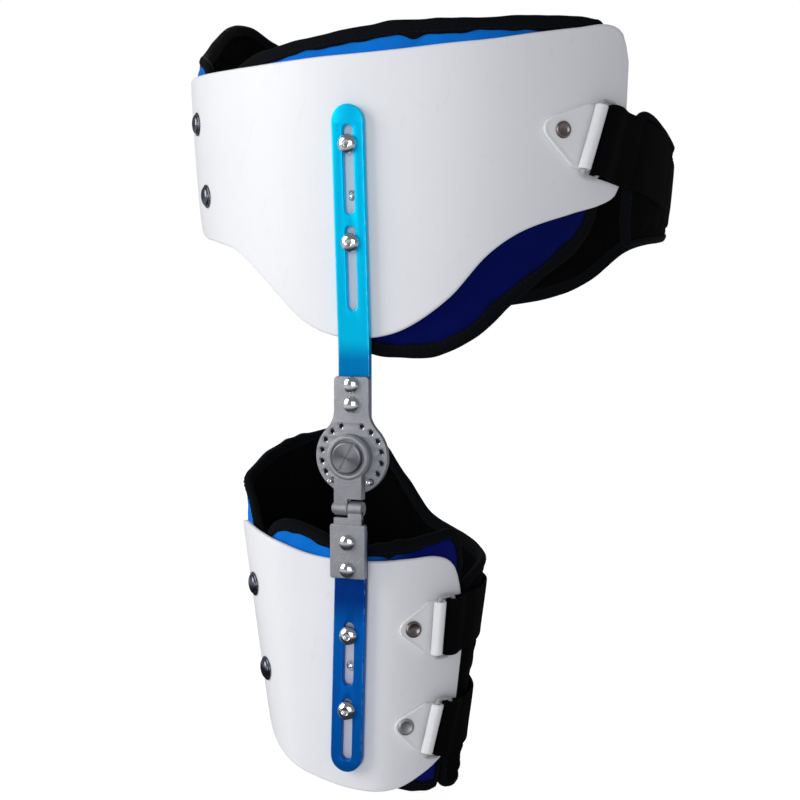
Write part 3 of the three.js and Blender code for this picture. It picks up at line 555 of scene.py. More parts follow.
def tape_finish(name, colour, rib_pitch, rib_rows, depth):
    """Woven tape: ribs across it, broken into rows along it, with painted shade in the ribs' troughs and a
    painted highlight on their crowns.
    """
    made = Finish(name, {"Specular IOR Level": 0.05, "Sheen Weight": 0.006, "Sheen Roughness": 0.5})
    along, across = made.cloth_axes()
    where = made.place()
    zigzag = abs((across * (1 / rib_rows)).math("PINGPONG", 1.0)) * 0.5
    rib = ((along * (1 / rib_pitch) + zigzag) * (2 * math.pi)).sin()
    rows = (across * (2 * math.pi / rib_rows)).sin()
    fuzz = made.noise(where, 1500, 3)
    cloud = made.noise(where, 50, 3)
    # Painted shade and highlight: troughs darker, crowns lighter, in step with the ribs' height
    base = made.mix(0.5 + 0.35 * rib, tinted(colour, 0.55), tinted(colour, 1.7))
    base = made.mix(0.4 * cloud, base, tinted(colour, 2.2))
    height = 0.6 * rib + 0.25 * rows + 0.4 * fuzz
    return made.feed(base=base, rough=0.75 + 0.15 * fuzz, height=height, depth=depth)


def floor_finish(name, colour):
    """Plain pale floor with hardly any mottling, bright to the eye but dim as a light."""
    made = Finish(name, {"Roughness": 0.9, "Specular IOR Level": 0.1, "Emission Strength": 1.0})
    cloud = made.noise(made.place(), 3, 2)
    seen = made.node("LightPath", output="Is Camera Ray")
    mirrored = made.node("LightPath", output="Is Glossy Ray")
    x, y, _ = made.axes(made.place())
    near = 1 - (x * x + y * y).step(0.1, 0.6)
    base = made.mix(cloud, tinted(colour, 0.99), colour)
    base = made.mix(mirrored * near, base, FLOOR_DARK)
    dim = made.mix(mirrored * near, FLOOR_DIM, FLOOR_DARK)
    return made.feed(base=base, glow=made.mix(seen, dim, FLOOR_BRIGHT))


FINISHES = {}


def finish(name):
    """The named finish, made when it is first asked for."""
    if name in FINISHES:
        return FINISHES[name]
    c = bpy.context.scene.brace_colours
    makers = {
        "shell": lambda n: plastic_finish(n, c.shell, 0.36, 0.00012),
        "tab": lambda n: plastic_finish(n, c.tab, 0.2, 0.00005),
        "ring": lambda n: plastic_finish(n, tinted(c.tab, 0.5), 0.24, 0.00004),
        # Each bar's second colour is painted shade: below the upper bar's bend, and beside the hinge leaf on
        # the lower bar
        "upper_bar": lambda n: anodised_finish(n, c.upper_bar, c.upper_foot_shade, -0.092, -0.108),
        "lower_bar": lambda n: anodised_finish(n, c.lower_bar, c.lower_top_shade, -0.275, -0.25),
        "steel": lambda n: steel_finish(n, c.steel),
        "spun": lambda n: spun_finish(n, c.steel),
        # Painted shade: near-black steel for the disc at the bottom of the dial's holes
        "hole_floor": lambda n: steel_finish(n, tinted(c.steel, 0.02)),
        "countersink": lambda n: bright_finish(n, c.chrome, 0.2),
        "chrome": lambda n: bright_finish(n, c.chrome, 0.1),
        "dark_rivet": lambda n: bright_finish(n, c.rivet, 0.18),
        "eyelet": lambda n: bright_finish(n, c.eyelet, 0.24),
        "dull_eyelet": lambda n: bright_finish(n, (0.52, 0.52, 0.53), 0.5),
        # Painted shade on the blue cloth: the pelvic liner darker below the shell, the thigh cloth darker
        # towards the front
        "pelvic_cloth": lambda n: knit_finish(n, c.liner, c.liner_painted_shade, 2, -0.01, 0.06),
        # Painted shade on the belt: darker towards the bottom
        "belt_cloth": lambda n: knit_finish(n, tinted(c.liner, 0.75), tinted(c.liner, 0.45), 2, -0.08, 0.06),
        "thigh_cloth": lambda n: knit_finish(n, c.liner, tinted(c.liner_painted_shade, 1.6), 0, 0.035, -0.005),
        "lining": lambda n: brushed_finish(n, c.lining),
        "loop_patch": lambda n: brushed_finish(n, tinted(c.lining, 1.2)),
        "binding": lambda n: tape_finish(n, c.binding, 0.0012, 0.0016, 0.0002),
        "webbing": lambda n: tape_finish(n, c.webbing, 0.0016, 0.004, 0.00025),
        "thread": lambda n: tape_finish(n, tinted(c.binding, 2.5), 0.0005, 0.0003, 0.00005),
        "floor": lambda n: floor_finish(n, c.floor),
    }
    FINISHES[name] = makers[name](name)
    return FINISHES[name]


# Meshes from arrays in millimetres
def added(name, data):
    """A new object in the scene."""
    obj = bpy.data.objects.new(name, data)
    bpy.context.scene.collection.objects.link(obj)
    return obj


def piece(name, points, faces, finishes, cloth=None, face_finish=None, sharp=None):
    """A mesh object at the origin. cloth gives each point its place on the flat cloth."""
    mesh = bpy.data.meshes.new(name)
    mesh.from_pydata((np.asarray(points) * MM).tolist(), [], [list(map(int, f)) for f in faces])
    for each in finishes:
        mesh.materials.append(finish(each))
    if face_finish is not None:
        mesh.polygons.foreach_set("material_index", np.asarray(face_finish, np.int32))
    if cloth is not None:
        flat = mesh.uv_layers.new(name="cloth")
        corner = np.zeros(len(mesh.loops), np.int32)
        mesh.loops.foreach_get("vertex_index", corner)
        flat.data.foreach_set("uv", (np.asarray(cloth) * MM)[corner].ravel())
    mesh.shade_smooth()
    if sharp is not None:
        mesh.set_sharp_from_angle(angle=math.radians(sharp))
    mesh.update()
    return added(name, mesh)


def cut_by(obj, tool):
    """Takes the tool's shape out of a piece and leaves crisp edges."""
    cut = obj.modifiers.new("cut", "BOOLEAN")
    cut.operation = "DIFFERENCE"
    cut.solver = "EXACT"
    cut.object = tool
    settled(obj)
    bpy.data.objects.remove(tool)
    obj.data.set_sharp_from_angle(angle=math.radians(CRISP))
    return obj


def settled(obj):
    """Works an object's modifiers into its plain mesh."""
    bpy.context.view_layer.update()
    shown = obj.evaluated_get(bpy.context.evaluated_depsgraph_get())
    mesh = bpy.data.meshes.new_from_object(shown)
    old = obj.data
    obj.modifiers.clear()
    obj.data = mesh
    mesh.name = obj.name
    if old.users == 0:
        bpy.data.meshes.remove(old)


def joined(target, *others):
    """Adds other objects' meshes to the target's."""
    with bpy.context.temp_override(active_object=target, selected_editable_objects=[target, *others]):
        bpy.ops.object.join()


def handed_over(obj, body, slot, *nodes):
    """The finished piece rides on its body and stands for its nodes."""
    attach(obj, body)
    if nodes:
        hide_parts(*nodes)


def to_bmesh(points, faces):
    work = bmesh.new()
    made = [work.verts.new(p) for p in points]
    for face in faces:
        ring = [made[int(k)] for k in face]
        if len(set(ring)) > 2:
            work.faces.new(ring)
    return work


def from_bmesh(work):
    work.verts.index_update()
    points = np.array([v.co[:] for v in work.verts])
    faces = [[v.index for v in f.verts] for f in work.faces]
    work.free()
    return points, faces


def merged(points, faces):
    """Points welded, empty faces dropped, faces turned outward."""
    work = to_bmesh(points, faces)
    bmesh.ops.remove_doubles(work, verts=work.verts, dist=WELD)
    bmesh.ops.dissolve_degenerate(work, edges=work.edges, dist=WELD / 10)
    bmesh.ops.recalc_face_normals(work, faces=work.faces)
    return from_bmesh(work)


def grid_quads(ids):
    corners = (ids[:-1, :-1], ids[1:, :-1], ids[1:, 1:], ids[:-1, 1:])
    return np.stack(corners, axis=-1).reshape(-1, 4)


def tube_quads(points):
    """Faces of a grid that closes on itself both ways."""
    ids = np.arange(points.shape[0] * points.shape[1]).reshape(points.shape[:2])
    return grid_quads(np.pad(ids, ((0, 1), (0, 1)), mode="wrap"))


def within_edge(shape):
    """True for the points of a grid that aren't on its edge."""
    within = np.zeros(shape, bool)
    within[1:-1, 1:-1] = True
    return within


def two_faced(inner, outer, cloth):
    """A closed sheet between two grids that meet along their edges.

    Gives its points and faces, each point's place on the cloth, and each face's side: 0 outer, 1 inner.
    """
    rows, columns = outer.shape[:2]
    total = rows * columns
    front = np.arange(total).reshape(rows, columns)
    within = within_edge((rows, columns))
    back = front.copy()
    back[within] = total + np.arange(within.sum())
    points = np.concatenate([outer.reshape(-1, 3), inner[within]])
    places = np.concatenate([cloth.reshape(-1, 2), cloth[within]])
    outside = grid_quads(front)
    inside = grid_quads(back)[:, ::-1]
    side = np.repeat([0, 1], [len(outside), len(inside)])
    return points, np.concatenate([outside, inside]), places, side


def rounded(distance, radius):
    """The share of full thickness at a distance from a rounded edge."""
    return np.sqrt(np.clip(1 - (1 - np.clip(distance / radius, 0, 1)) ** 2, 0, 1))


def smoothstep(value, low, high):
    t = np.clip((value - low) / (high - low), 0, 1)
    return t * t * (3 - 2 * t)


def hump(value, middle, spread):
    """1 at the middle, fading evenly to both sides."""
    return np.exp(-((value - middle) / spread) ** 2)


def waves(turn, rows):
    """A sum of sine waves, each given by its height, count and start."""
    return sum(high * np.sin(count * turn + start) for high, count, start in rows)


def stacked(*parts):
    """Numbers or arrays side by side in a new last axis."""
    return np.stack(np.broadcast_arrays(*parts), axis=-1)


def run_along(line):
    """The length of a line up to each of its points."""
    return np.append(0, np.cumsum(np.linalg.norm(np.diff(line, axis=0), axis=1)))


def ladder(length, margins, count):
    """Distances across a length: the margins at both ends and even cells between them."""
    length = np.asarray(length, float)[..., None]
    margins = np.asarray(margins, float)
    share = np.linspace(0, 1, count + 1)[1:-1]
    middle = margins[-1] + (length - 2 * margins[-1]) * share
    return np.concatenate([margins + 0 * length, middle, length - margins[::-1]], axis=-1)


def edge_distance(points):
    """Each grid point's distance from the grid's edge, and how far along the edge that is."""
    ring = np.concatenate([points[:, 0], points[-1, 1:], points[-2::-1, -1], points[0, -2:0:-1]])
    following = np.roll(ring, -1, axis=0)
    shares = np.linspace(0, 1, 8, endpoint=False)[:, None, None]
    dense = (ring + (following - ring) * shares).transpose(1, 0, 2).reshape(-1, 3)
    tree = KDTree(len(dense))
    for k, point in enumerate(dense):
        tree.insert(point, k)
    tree.balance()
    run = np.cumsum(np.linalg.norm(np.roll(dense, -1, axis=0) - dense, axis=1))
    found = [tree.find(point)[1:] for point in points.reshape(-1, 3)]
    index, distance = np.array(found).T
    return distance.reshape(points.shape[:2]), run[index.astype(int)].reshape(points.shape[:2])


# Cuffs: pieces wrapped on a hollow's form
def on_form(form, angle, z, off):
    """Points at an angle round a form, at a height and at a distance off the skin."""
    turn = np.radians(angle)
    across = np.cos(turn)
    if form is THIGH_FORM:
        over = np.log1p(np.exp((across - FLAT_FROM) / FLAT_EASE)) * FLAT_EASE
        across = across - (1 - FLAT_KEEP) * over
    x = form.read(z, "mid_x") + (form.read(z, "depth") + off) * np.sin(turn)
    y = form.read(z, "mid_y") - (form.read(z, "width") + off) * across
    return stacked(x, y, z)


def unit(vectors):
    return vectors / np.linalg.norm(vectors, axis=-1, keepdims=True)


def outward(form, angle, z):
    """The way that a form faces, from the points beside, above and below."""
    turn, climb = 2, 4
    around = on_form(form, angle + turn, z, 0) - on_form(form, angle - turn, z, 0)
    rise = on_form(form, angle, z + climb, 0) - on_form(form, angle, z - climb, 0)
    return unit(np.cross(around, rise))


class Cuff:
    """An outline on a form between an inner and an outer layer, both given by angle and height."""

    grid_samples = 800
    edge_samples = 1200
    end_samples = 120
    turn_reach = 5

    def __init__(self, form, edge, inner, outer):
        self.form = form
        self.edge = edge
        self.inner = inner
        self.outer = outer
        self.first, self.last = edge.rows[0, 0], edge.rows[-1, 0]

    def ends(self, angle):
        return self.edge.read(angle, "bottom"), self.edge.read(angle, "top")

    def middle(self, angle, z):
        return (self.inner(angle, z) + self.outer(angle, z)) / 2

    def padding(self, angle, z):
        """The middle of the padding and half its thickness, inside the cloth's slack."""
        low = self.inner(angle, z) + PAD["slack"]
        high = self.outer(angle, z) - PAD["slack"]
        return (low + high) / 2, (high - low) / 2

    def grid(self, margins, cell):
        """Angle, height and cloth place of each grid point."""
        dense = np.linspace(self.first, self.last, self.grid_samples)
        bottom, top = self.ends(dense)
        level = (bottom + top) / 2
        line = on_form(self.form, dense, level, self.middle(dense, level))
        run = run_along(line)
        along = ladder(run[-1], margins, round(run[-1] / cell))
        angle = np.interp(along, run, dense)
        bottom, top = self.ends(angle)
        rise = ladder(top - bottom, margins, round((top - bottom).max() / cell))
        z = bottom[:, None] + rise
        cloth = stacked(along[:, None], z)
        return np.broadcast_to(angle[:, None], z.shape), z, cloth

    def outline(self, step):
        """A closed loop of angles and heights along the edge, the way inward per millimetre, and the run."""
        dense = np.linspace(self.first, self.last, self.edge_samples)
        bottom, top = self.ends(dense)
        side = np.linspace(0, 1, self.end_samples)[1:-1]
        up = bottom[-1] + (top[-1] - bottom[-1]) * side
        down = top[0] + (bottom[0] - top[0]) * side
        angle = np.concatenate([dense, 0 * up + self.last, dense[::-1], 0 * down + self.first])
        z = np.concatenate([bottom, up, top[::-1], down])
        line = on_form(self.form, angle, z, self.middle(angle, z))
        run = run_along(np.append(line, line[:1], axis=0))
        at = np.linspace(0, run[-1], round(run[-1] / step), endpoint=False)
        angle = np.interp(at, run, np.append(angle, angle[0]))
        z = np.interp(at, run, np.append(z, z[0]))
        ahead = on_form(self.form, angle + 0.5, z, LINER)
        per_degree = np.linalg.norm(ahead - on_form(self.form, angle - 0.5, z, LINER), axis=-1)
        reach = max(1, round(self.turn_reach / step))
        turn = (np.roll(angle, -reach) - np.roll(angle, reach)) * per_degree
        climb = np.roll(z, -reach) - np.roll(z, reach)
        size = np.hypot(turn, climb)
        return angle, z, -climb / size / per_degree, turn / size, at


def layer(off):
    """A layer of even height off the form."""
    return lambda angle, z: off + 0 * angle


def shell_piece(name, cuff, rim, bar):
    """A half shell with rounded edges, bored for the spare insert of its bar."""
    angle, z, cloth = cuff.grid(SHELL_MARGINS, SHELL_CELL)
    middle = cuff.middle(angle, z)
    distance, _ = edge_distance(on_form(cuff.form, angle, z, middle))
    half = SHELL / 2 * rounded(distance, rim / MM)
    inner = on_form(cuff.form, angle, z, middle - half)
    outer = on_form(cuff.form, angle, z, middle + half)
    obj = piece(name, *two_faced(inner, outer, cloth)[:2], ["shell"])
    reach = 9
    profile = ((0, -reach), (INSERT_BORE, -reach), (INSERT_BORE, reach), (0, reach))
    spot = (0, bar_y(bar, bar["insert"]), bar["insert"])
    tool = piece("bore", *turned(profile, 32, spot, bar_facing(bar)), ["shell"])
    return cut_by(obj, tool)


def swell(obj, held, room_in, room_out, facing):
    """Blows a pad up as cloth, then keeps every point within the room it has along facing."""
    scene = bpy.context.scene
    before = coordinates(obj.data)
    obj.vertex_groups.new(name="held").add(np.flatnonzero(held).tolist(), 1.0, "REPLACE")
    cloth = obj.modifiers.new("swell", "CLOTH")
    settings = cloth.settings
    settings.quality = SWELL["quality"]
    settings.use_pressure = True
    settings.uniform_pressure_force = SWELL["pressure"]
    settings.shrink_min = SWELL["shrink"]
    settings.vertex_group_mass = "held"
    settings.effector_weights.gravity = 0
    cloth.collision_settings.use_collision = False
    cloth.point_cache.frame_start = 1
    cloth.point_cache.frame_end = SWELL["frames"]
    for number in range(1, SWELL["frames"] + 1):
        scene.frame_set(number)
    shown = obj.evaluated_get(bpy.context.evaluated_depsgraph_get())
    after = coordinates(shown.to_mesh())
    shown.to_mesh_clear()
    obj.modifiers.remove(cloth)
    scene.frame_set(1)
    obj.vertex_groups.clear()
    move = np.nan_to_num(after - before)
    out = (move * facing).sum(axis=1, keepdims=True)
    along = move - out * facing
    size = np.linalg.norm(along, axis=1, keepdims=True)
    along = along * np.minimum(1, SWELL["drift"] / np.maximum(size, 1e-9))
    out = np.clip(out, -room_in[:, None], room_out[:, None])
    obj.data.vertices.foreach_set("co", (before + out * facing + along).ravel())
    obj.data.update()


def coordinates(mesh):
    co = np.zeros(len(mesh.vertices) * 3, np.float32)
    mesh.vertices.foreach_get("co", co)
    return co.reshape(-1, 3).astype(float)


def tape_width(pad, sizes):
    """The width of a pad's binding on each face, in millimetres."""
    return (sizes.pelvic_tape if PADS[pad].form is PELVIS_FORM else sizes.thigh_tape) / MM


def pad_piece(pad, sizes, room, finishes, wave=None):
    """A padded piece: cloth faces blown up between their bound edges, and a tape sewn over the edge."""
    cuff = PADS[pad]
    width = tape_width(pad, sizes)
    angle, z, cloth = cuff.grid(PAD_MARGINS, sizes.pad_cell / MM)
    middle, full = cuff.padding(angle, z)
    distance, place = edge_distance(on_form(cuff.form, angle, z, middle))
    half = full * rounded(distance, full)
    groove = GROOVE["deep"] * hump(distance, width + GROOVE["at"], GROOVE["wide"])
    shift = wave(angle, z) * smoothstep(distance, width, 3 * width) if wave else 0
    peak = width + PUCKER["at"]
    fade = hump(distance, peak, PUCKER["wide"]) * smoothstep(distance, width, peak)
    stray = PUCKER["stray"] * np.sin(place / PUCKER["stray_every"])
    pucker = PUCKER["high"] * fade * np.sin(place * (2 * np.pi / PUCKER["every"]) + stray)

    def pressed(reach):
        """How far the tape and its seam press the cloth in."""
        under = 1 - smoothstep(distance, reach - TUCK["before"], reach + TUCK["after"])
        return np.maximum(groove, TUCK["deep"] * np.minimum(1, half) * under)

    low = middle - half + pressed(width) + shift + PUCKER["inner"] * pucker
    high = middle + half - pressed(width * FOLDS[pad]) + shift - pucker
    inner = on_form(cuff.form, angle, z, low)
    outer = on_form(cuff.form, angle, z, high)
    points, faces, places, side = two_faced(inner, outer, cloth)
    if pad in PATCH_ENDS:
        outside = np.flatnonzero(side == 0)
        across = (angle[:-1, :-1] + angle[1:, :-1]).ravel() / 2
        side[outside[across < PATCH_ENDS[pad]]] = finishes.index("loop_patch")
    obj = piece(pad + "_cloth", points, faces, finishes, places, side)
    within = within_edge(angle.shape)

    def both(values):
        return np.concatenate([values.reshape(-1, *values.shape[2:]), values[within]])

    facing = both(outward(cuff.form, angle, z))
    free = both(np.broadcast_to(room(angle, z), angle.shape)) * MM
    outside = np.arange(len(free)) < angle.size
    dent = PAD["dent"] * MM
    room_in = np.where(outside, dent, sizes.swell_in)
    room_out = np.where(outside, free, dent)
    swell(obj, both(distance) < width + PAD["held"], room_in, room_out, facing)
    smooth = obj.modifiers.new("smooth", "SUBSURF")
    smooth.levels = 1
    smooth.render_levels = 1
    settled(obj)
    joined(obj, binding_piece(pad, sizes))
    return obj


def binding_piece(pad, sizes):
    """Tape folded over a pad's edge, uneven as sewn tape is, with its ends lapped on the top edge."""
    cuff = PADS[pad]
    angle, z, inward_angle, inward_z, run = cuff.outline(BINDING["step"])
    middle, radius = (part[:, None] for part in cuff.padding(angle, z))
    loops = 2 * np.pi * run / (run[-1] + BINDING["step"])
    uneven = waves(loops, UNEVEN)[:, None]
    on_top = z > (z.min() + z.max()) / 2
    lapped = on_top * hump(angle, LAPS[pad], LAP["wide"])
    beside = on_top * hump(np.abs(angle - LAPS[pad]), LAP["beside"], LAP["fade"])
    swing = (waves(loops, SWING) - BINDING["draw"] - LAP["pull"] * beside)[:, None]
    wide = tape_width(pad, sizes) * (1 + BINDING["jitter"] * uneven) + LAP["pull"] * lapped[:, None]
    bend = np.radians(np.linspace(90, 270, 9))
    leg = np.linspace(1, 0.12, 4)

    def profile(rise):
        """Across the tape: how far inward from the edge, and how far off the form."""
        turned_in = (radius + rise) * np.cos(bend) * (1 + BINDING["round"] * uneven)
        round_in = radius + turned_in + BINDING["sway"] * swing
        round_off = middle + (radius + rise) * np.sin(bend)
        inner_leg = radius + (wide - radius) * leg
        outer_leg = radius + (np.maximum(wide * FOLDS[pad], radius + 1) - radius) * leg
        leg_off = radius + rise + BINDING["crown"] * np.sin(np.pi * leg)
        inward = np.concatenate([outer_leg, round_in, inner_leg[:, ::-1]], axis=1)
        off = np.concatenate([middle + leg_off, round_off, (middle - leg_off)[:, ::-1]], axis=1)
        return inward, off

    out_in, out_off = profile(sizes.binding_lift / MM)
    back_in, back_off = profile(-BINDING["under"])
    inward = np.concatenate([out_in, back_in[:, ::-1]], axis=1)
    off = np.concatenate([out_off, back_off[:, ::-1]], axis=1)
    around = angle[:, None] + inward_angle[:, None] * inward
    height = z[:, None] + inward_z[:, None] * inward
    points = on_form(cuff.form, around, height, off)
    across = np.cumsum(np.linalg.norm(np.diff(points, axis=1, prepend=points[:, :1]), axis=-1), axis=1)
    cloth = stacked(run[:, None], across).reshape(-1, 2)
    return piece(pad + "_cloth_binding", points.reshape(-1, 3), tube_quads(points), ["binding"], cloth)


# Turned pieces
def lathe(profile, sides, hexagon=()):
    """A turned closed form about Z. Rows whose number is in hexagon get six flats."""
    turn = np.linspace(0, 2 * np.pi, sides, endpoint=False)
    flats = np.cos(np.pi / 6) / np.cos(np.mod(turn, np.pi / 3) - np.pi / 6)
    rows = []
    for number, (radius, height) in enumerate(profile):
        reach = radius * (flats if number in hexagon else 1)
        rows.append(stacked(reach * np.cos(turn), reach * np.sin(turn), height))
    ids = np.arange(len(profile) * sides).reshape(len(profile), sides)
    return merged(np.concatenate(rows), grid_quads(np.pad(ids, ((0, 0), (0, 1)), mode="wrap")))


def turned(profile, sides, spot, facing):
    """A turned form whose Z looks along facing, set on a spot."""
    points, faces = lathe(profile, sides)
    turn = Vector((0, 0, 1)).rotation_difference(Vector(facing)).to_matrix()
    return points @ np.array(turn).T + np.asarray(spot), faces


def dome(radius, height, rim):
    """A profile of a domed head with a short upright rim."""
    rise = np.radians(np.linspace(0, 90, 10))
    curve = [(radius * math.cos(t), rim + (height - rim) * math.sin(t)) for t in rise]
    return [(0, 0), (radius - 0.15, 0), (radius, 0.15), *curve]


# Plates and bars, drawn in X and Z
def arc(x, z, radius, start, end, count):
    turn = np.radians(np.linspace(start, end, count))
    return stacked(x + radius * np.cos(turn), z + radius * np.sin(turn))


def circle(x, z, radius, count):
    return arc(x, z, radius, 0, 360 * (1 - 1 / count), count)


def rounded_corners(corners, radius, count=5):
    """A closed outline with each corner rounded off."""
    corners = np.asarray(corners, float)
    out = []
    for before, here, after in zip(np.roll(corners, 1, axis=0), corners, np.roll(corners, -1, axis=0)):
        start = here + (before - here) / np.linalg.norm(before - here) * radius
        end = here + (after - here) / np.linalg.norm(after - here) * radius
        t = np.linspace(0, 1, count)[:, None]
        out.append((1 - t) ** 2 * start + 2 * t * (1 - t) * here + t ** 2 * end)
    return np.concatenate(out)


def plate(loops, thick, bevel, cuts=()):
    """A flat plate with rounded edges: its outline, then its holes. Y is its thickness."""
    curve = bpy.data.curves.new("plate", "CURVE")
    curve.dimensions = "2D"
    curve.fill_mode = "BOTH"
    curve.extrude = thick / 2 - bevel
    curve.bevel_depth = bevel
    curve.bevel_resolution = 2
    curve.offset = -bevel
    for loop in loops:
        line = curve.splines.new("POLY")
        line.use_cyclic_u = True
        line.points.add(len(loop) - 1)
        for point, (x, z) in zip(line.points, loop):
            point.co = (x, z, 0, 1)
    obj = added("plate", curve)
    bpy.context.view_layer.update()
    mesh = bpy.data.meshes.new_from_object(obj.evaluated_get(bpy.context.evaluated_depsgraph_get()))
    flat = coordinates(mesh)
    faces = [list(face.vertices) for face in mesh.polygons]
    bpy.data.objects.remove(obj)
    bpy.data.curves.remove(curve)
    bpy.data.meshes.remove(mesh)
    points, faces = merged(stacked(flat[:, 0], -flat[:, 2], flat[:, 1]), faces)
    return cross_cut(points, faces, cuts)


def cross_cut(points, faces, heights):
    """The same mesh with extra edges at some heights, so that it can bend there."""
    work = to_bmesh(points, faces)
    for z in heights:
        everything = [*work.verts, *work.edges, *work.faces]
        bmesh.ops.bisect_plane(work, geom=everything, dist=WELD, plane_co=(0, 0, z), plane_no=(0, 0, 1))
    return from_bmesh(work)


def together(*parts):
    """Several closed forms as one list of points and faces."""
    points, faces, start = [], [], 0
    for part_points, part_faces in parts:
        points.append(np.asarray(part_points))
        faces += [[int(k) + start for k in face] for face in part_faces]
        start += len(part_points)
    return np.concatenate(points), faces


def shifted(part, spot):
    return np.asarray(part[0]) + np.asarray(spot), part[1]


def bar_way(bar):
    return math.copysign(1, bar["top"] - bar["foot"])


def bar_y(bar, z):
    """The back face of a bar, with a soft bend."""
    ease = BAR["ease"]
    past = bar_way(bar) * (np.asarray(z, float) - bar["bend"])
    soft = np.log1p(np.exp(np.clip(past / ease, -30, 30))) * ease
    return bar["plumb_y"] - bar["lean"] * np.where(past > 10 * ease, past, soft)


def bar_facing(bar):
    return unit(np.array([0, -1, -bar["lean"] * bar_way(bar)]))


def bar_piece(name, bar, bevel, look):
    """A bar with a round end, a square foot, two slots and a soft bend."""
    radius, corner = BAR["width"] / 2, BAR["corner"]
    way = bar_way(bar)
    end = bar["top"] - way * radius
    low, above = bar["foot"], bar["foot"] + way * corner
    right = [(radius, end), (radius, above), (radius - corner, low)]
    left = [(corner - radius, low), (-radius, above), (-radius, end)]
    foot = right + left
    outline = np.concatenate([foot, arc(0, end, radius, 180, 180 - way * 180, 40)[1:-1]])
    half = BAR["slot"] / 2
    slots = [
        np.concatenate([arc(0, high - half, half, 0, 180, 20), arc(0, low + half, half, 180, 360, 20)])
        for low, high in bar["slots"]
    ]
    bend_reach = 12
    cuts = bar["bend"] + np.linspace(-bend_reach, bend_reach, 13)
    points, faces = plate([outline, *slots], BAR["thick"], bevel, cuts)
    points[:, 1] += bar_y(bar, points[:, 2]) - BAR["thick"] / 2
    return piece(name, points, faces, [look], sharp=38)


# Chafes and straps, laid out along s, across w and outward n, then wrapped on the form
def chafe_map(chafe):
    """Turns places along, across and off a chafe into points. Its lean is gone a little past the tail."""
    lean = math.radians(chafe["lean"])

    def place(s, w, n):
        near = 1 - smoothstep(s, chafe["tail"], chafe["tail"] + STRAP["straighten"])
        angle = chafe_angle(chafe, s + w * math.sin(lean) * near)
        z = chafe["z"] + chafe_drop(chafe, s) + w * np.cos(lean * near)
        return on_form(chafe["form"], angle, z, n)

    return place


def chafe_drop(chafe, s):
    """How far a strap's middle line has dropped along its run."""
    late = smoothstep(s, chafe["tail"], chafe["last"])
    start = -math.tan(math.radians(chafe["lean"]) * STRAP["drop"]) * np.minimum(s, chafe["tail"])
    return start + (chafe["end_z"] - chafe["z"] - start) * late


def chafe_angle(chafe, s):
    return chafe["angle"] + np.degrees(s / chafe["around"])


def ring_height(chafe):
    return chafe["base"] + GAP + WEBBING / 2 + FOLD


def strap_floor(chafe, angle):
    """The height of what a strap lies on: the shell, then the belt or the far thigh pad."""
    if chafe["form"] is PELVIS_FORM:
        return np.maximum(SHELL_OUT, LINER + BELT_EDGE.read(angle - 360, "lift"))
    pad = LINER + THIGH_PAD_EDGE.read(angle - 360, "lift")
    return THIGH_SHELL_OUT + (pad - THIGH_SHELL_OUT) * smoothstep(angle, *SHELL_END)


def strap_path(chafe):
    """The middle line of a strap: the tail, the fold over the ring, then the run under it."""
    top = ring_height(chafe)
    span = RING["span"]

    def lower(s):
        return strap_floor(chafe, chafe_angle(chafe, s)) + STRAP_GAP + WEBBING / 2

    back = np.linspace(chafe["tail"], span, 26)
    raised = lower(back) + WEBBING + 2 * GAP
    share = smoothstep(back, span, span + STRAP["tail_fall"])
    tail = stacked(back, (top + FOLD) * (1 - share) + raised * share)
    fold = arc(span, top, FOLD, 90, 270, 22)
    ahead = np.linspace(span, chafe["last"], round((chafe["last"] - span) / STRAP["cell"]))[1:]
    share = smoothstep(ahead, span, span + STRAP["run_fall"])
    run = stacked(ahead, (top - FOLD) * (1 - share) + lower(ahead) * share)
    return np.concatenate([tail, fold[1:], run])


def path_frame(path):
    """Length along a path and the way across it."""
    ahead = np.gradient(path, axis=0)
    side = unit(stacked(-ahead[:, 1], ahead[:, 0]))
    return run_along(path), side


def strap_piece(name, chafe):
    """A webbing strap with rounded selvedges and a slight hang, and its flat length."""
    path = strap_path(chafe)
    run, side = path_frame(path)
    half, corner = chafe["strap"] / 2, STRAP["corner"]
    w = ladder(chafe["strap"], STRAP_MARGINS, 10) - half
    s_in = np.minimum(run, run[-1] - run)[:, None]
    pull = corner * (1 - rounded(s_in, corner))
    w = w * (half - pull) / half
    distance = np.minimum(half - pull - np.abs(w), s_in)
    thick = WEBBING / 2 * rounded(np.maximum(distance, 0), STRAP["lip"])
    along = run[:, None]
    hang = 0.16 * np.sin(along / 9.0) * np.sin(w / 6.0 + along / 31) + 0.1 * np.sin(along / 4.3)
    hang = np.maximum(hang * smoothstep(along, STRAP["hang_from"], STRAP["hang_full"]), -STRAP["sag"])
    place = chafe_map(chafe)

    def face(sign):
        off = sign * thick + hang
        return place(path[:, :1] + side[:, :1] * off, w, path[:, 1:] + side[:, 1:] * off)

    points, faces, places, _ = two_faced(face(-1), face(1), stacked(along, w))
    flat_length = run_along(place(path[:, 0], 0.0, path[:, 1]))[-1]
    return piece(name, points, turned_out(points, faces), ["webbing"], places), flat_length


def turned_out(points, faces):
    """The faces of a closed form, turned outward."""
    corner = points[faces]
    volume = np.einsum("ij,ij->i", corner[:, 0], np.cross(corner[:, 1], corner[:, 2])).sum()
    volume += np.einsum("ij,ij->i", corner[:, 0], np.cross(corner[:, 2], corner[:, 3])).sum()
    return faces if volume > 0 else faces[:, ::-1]


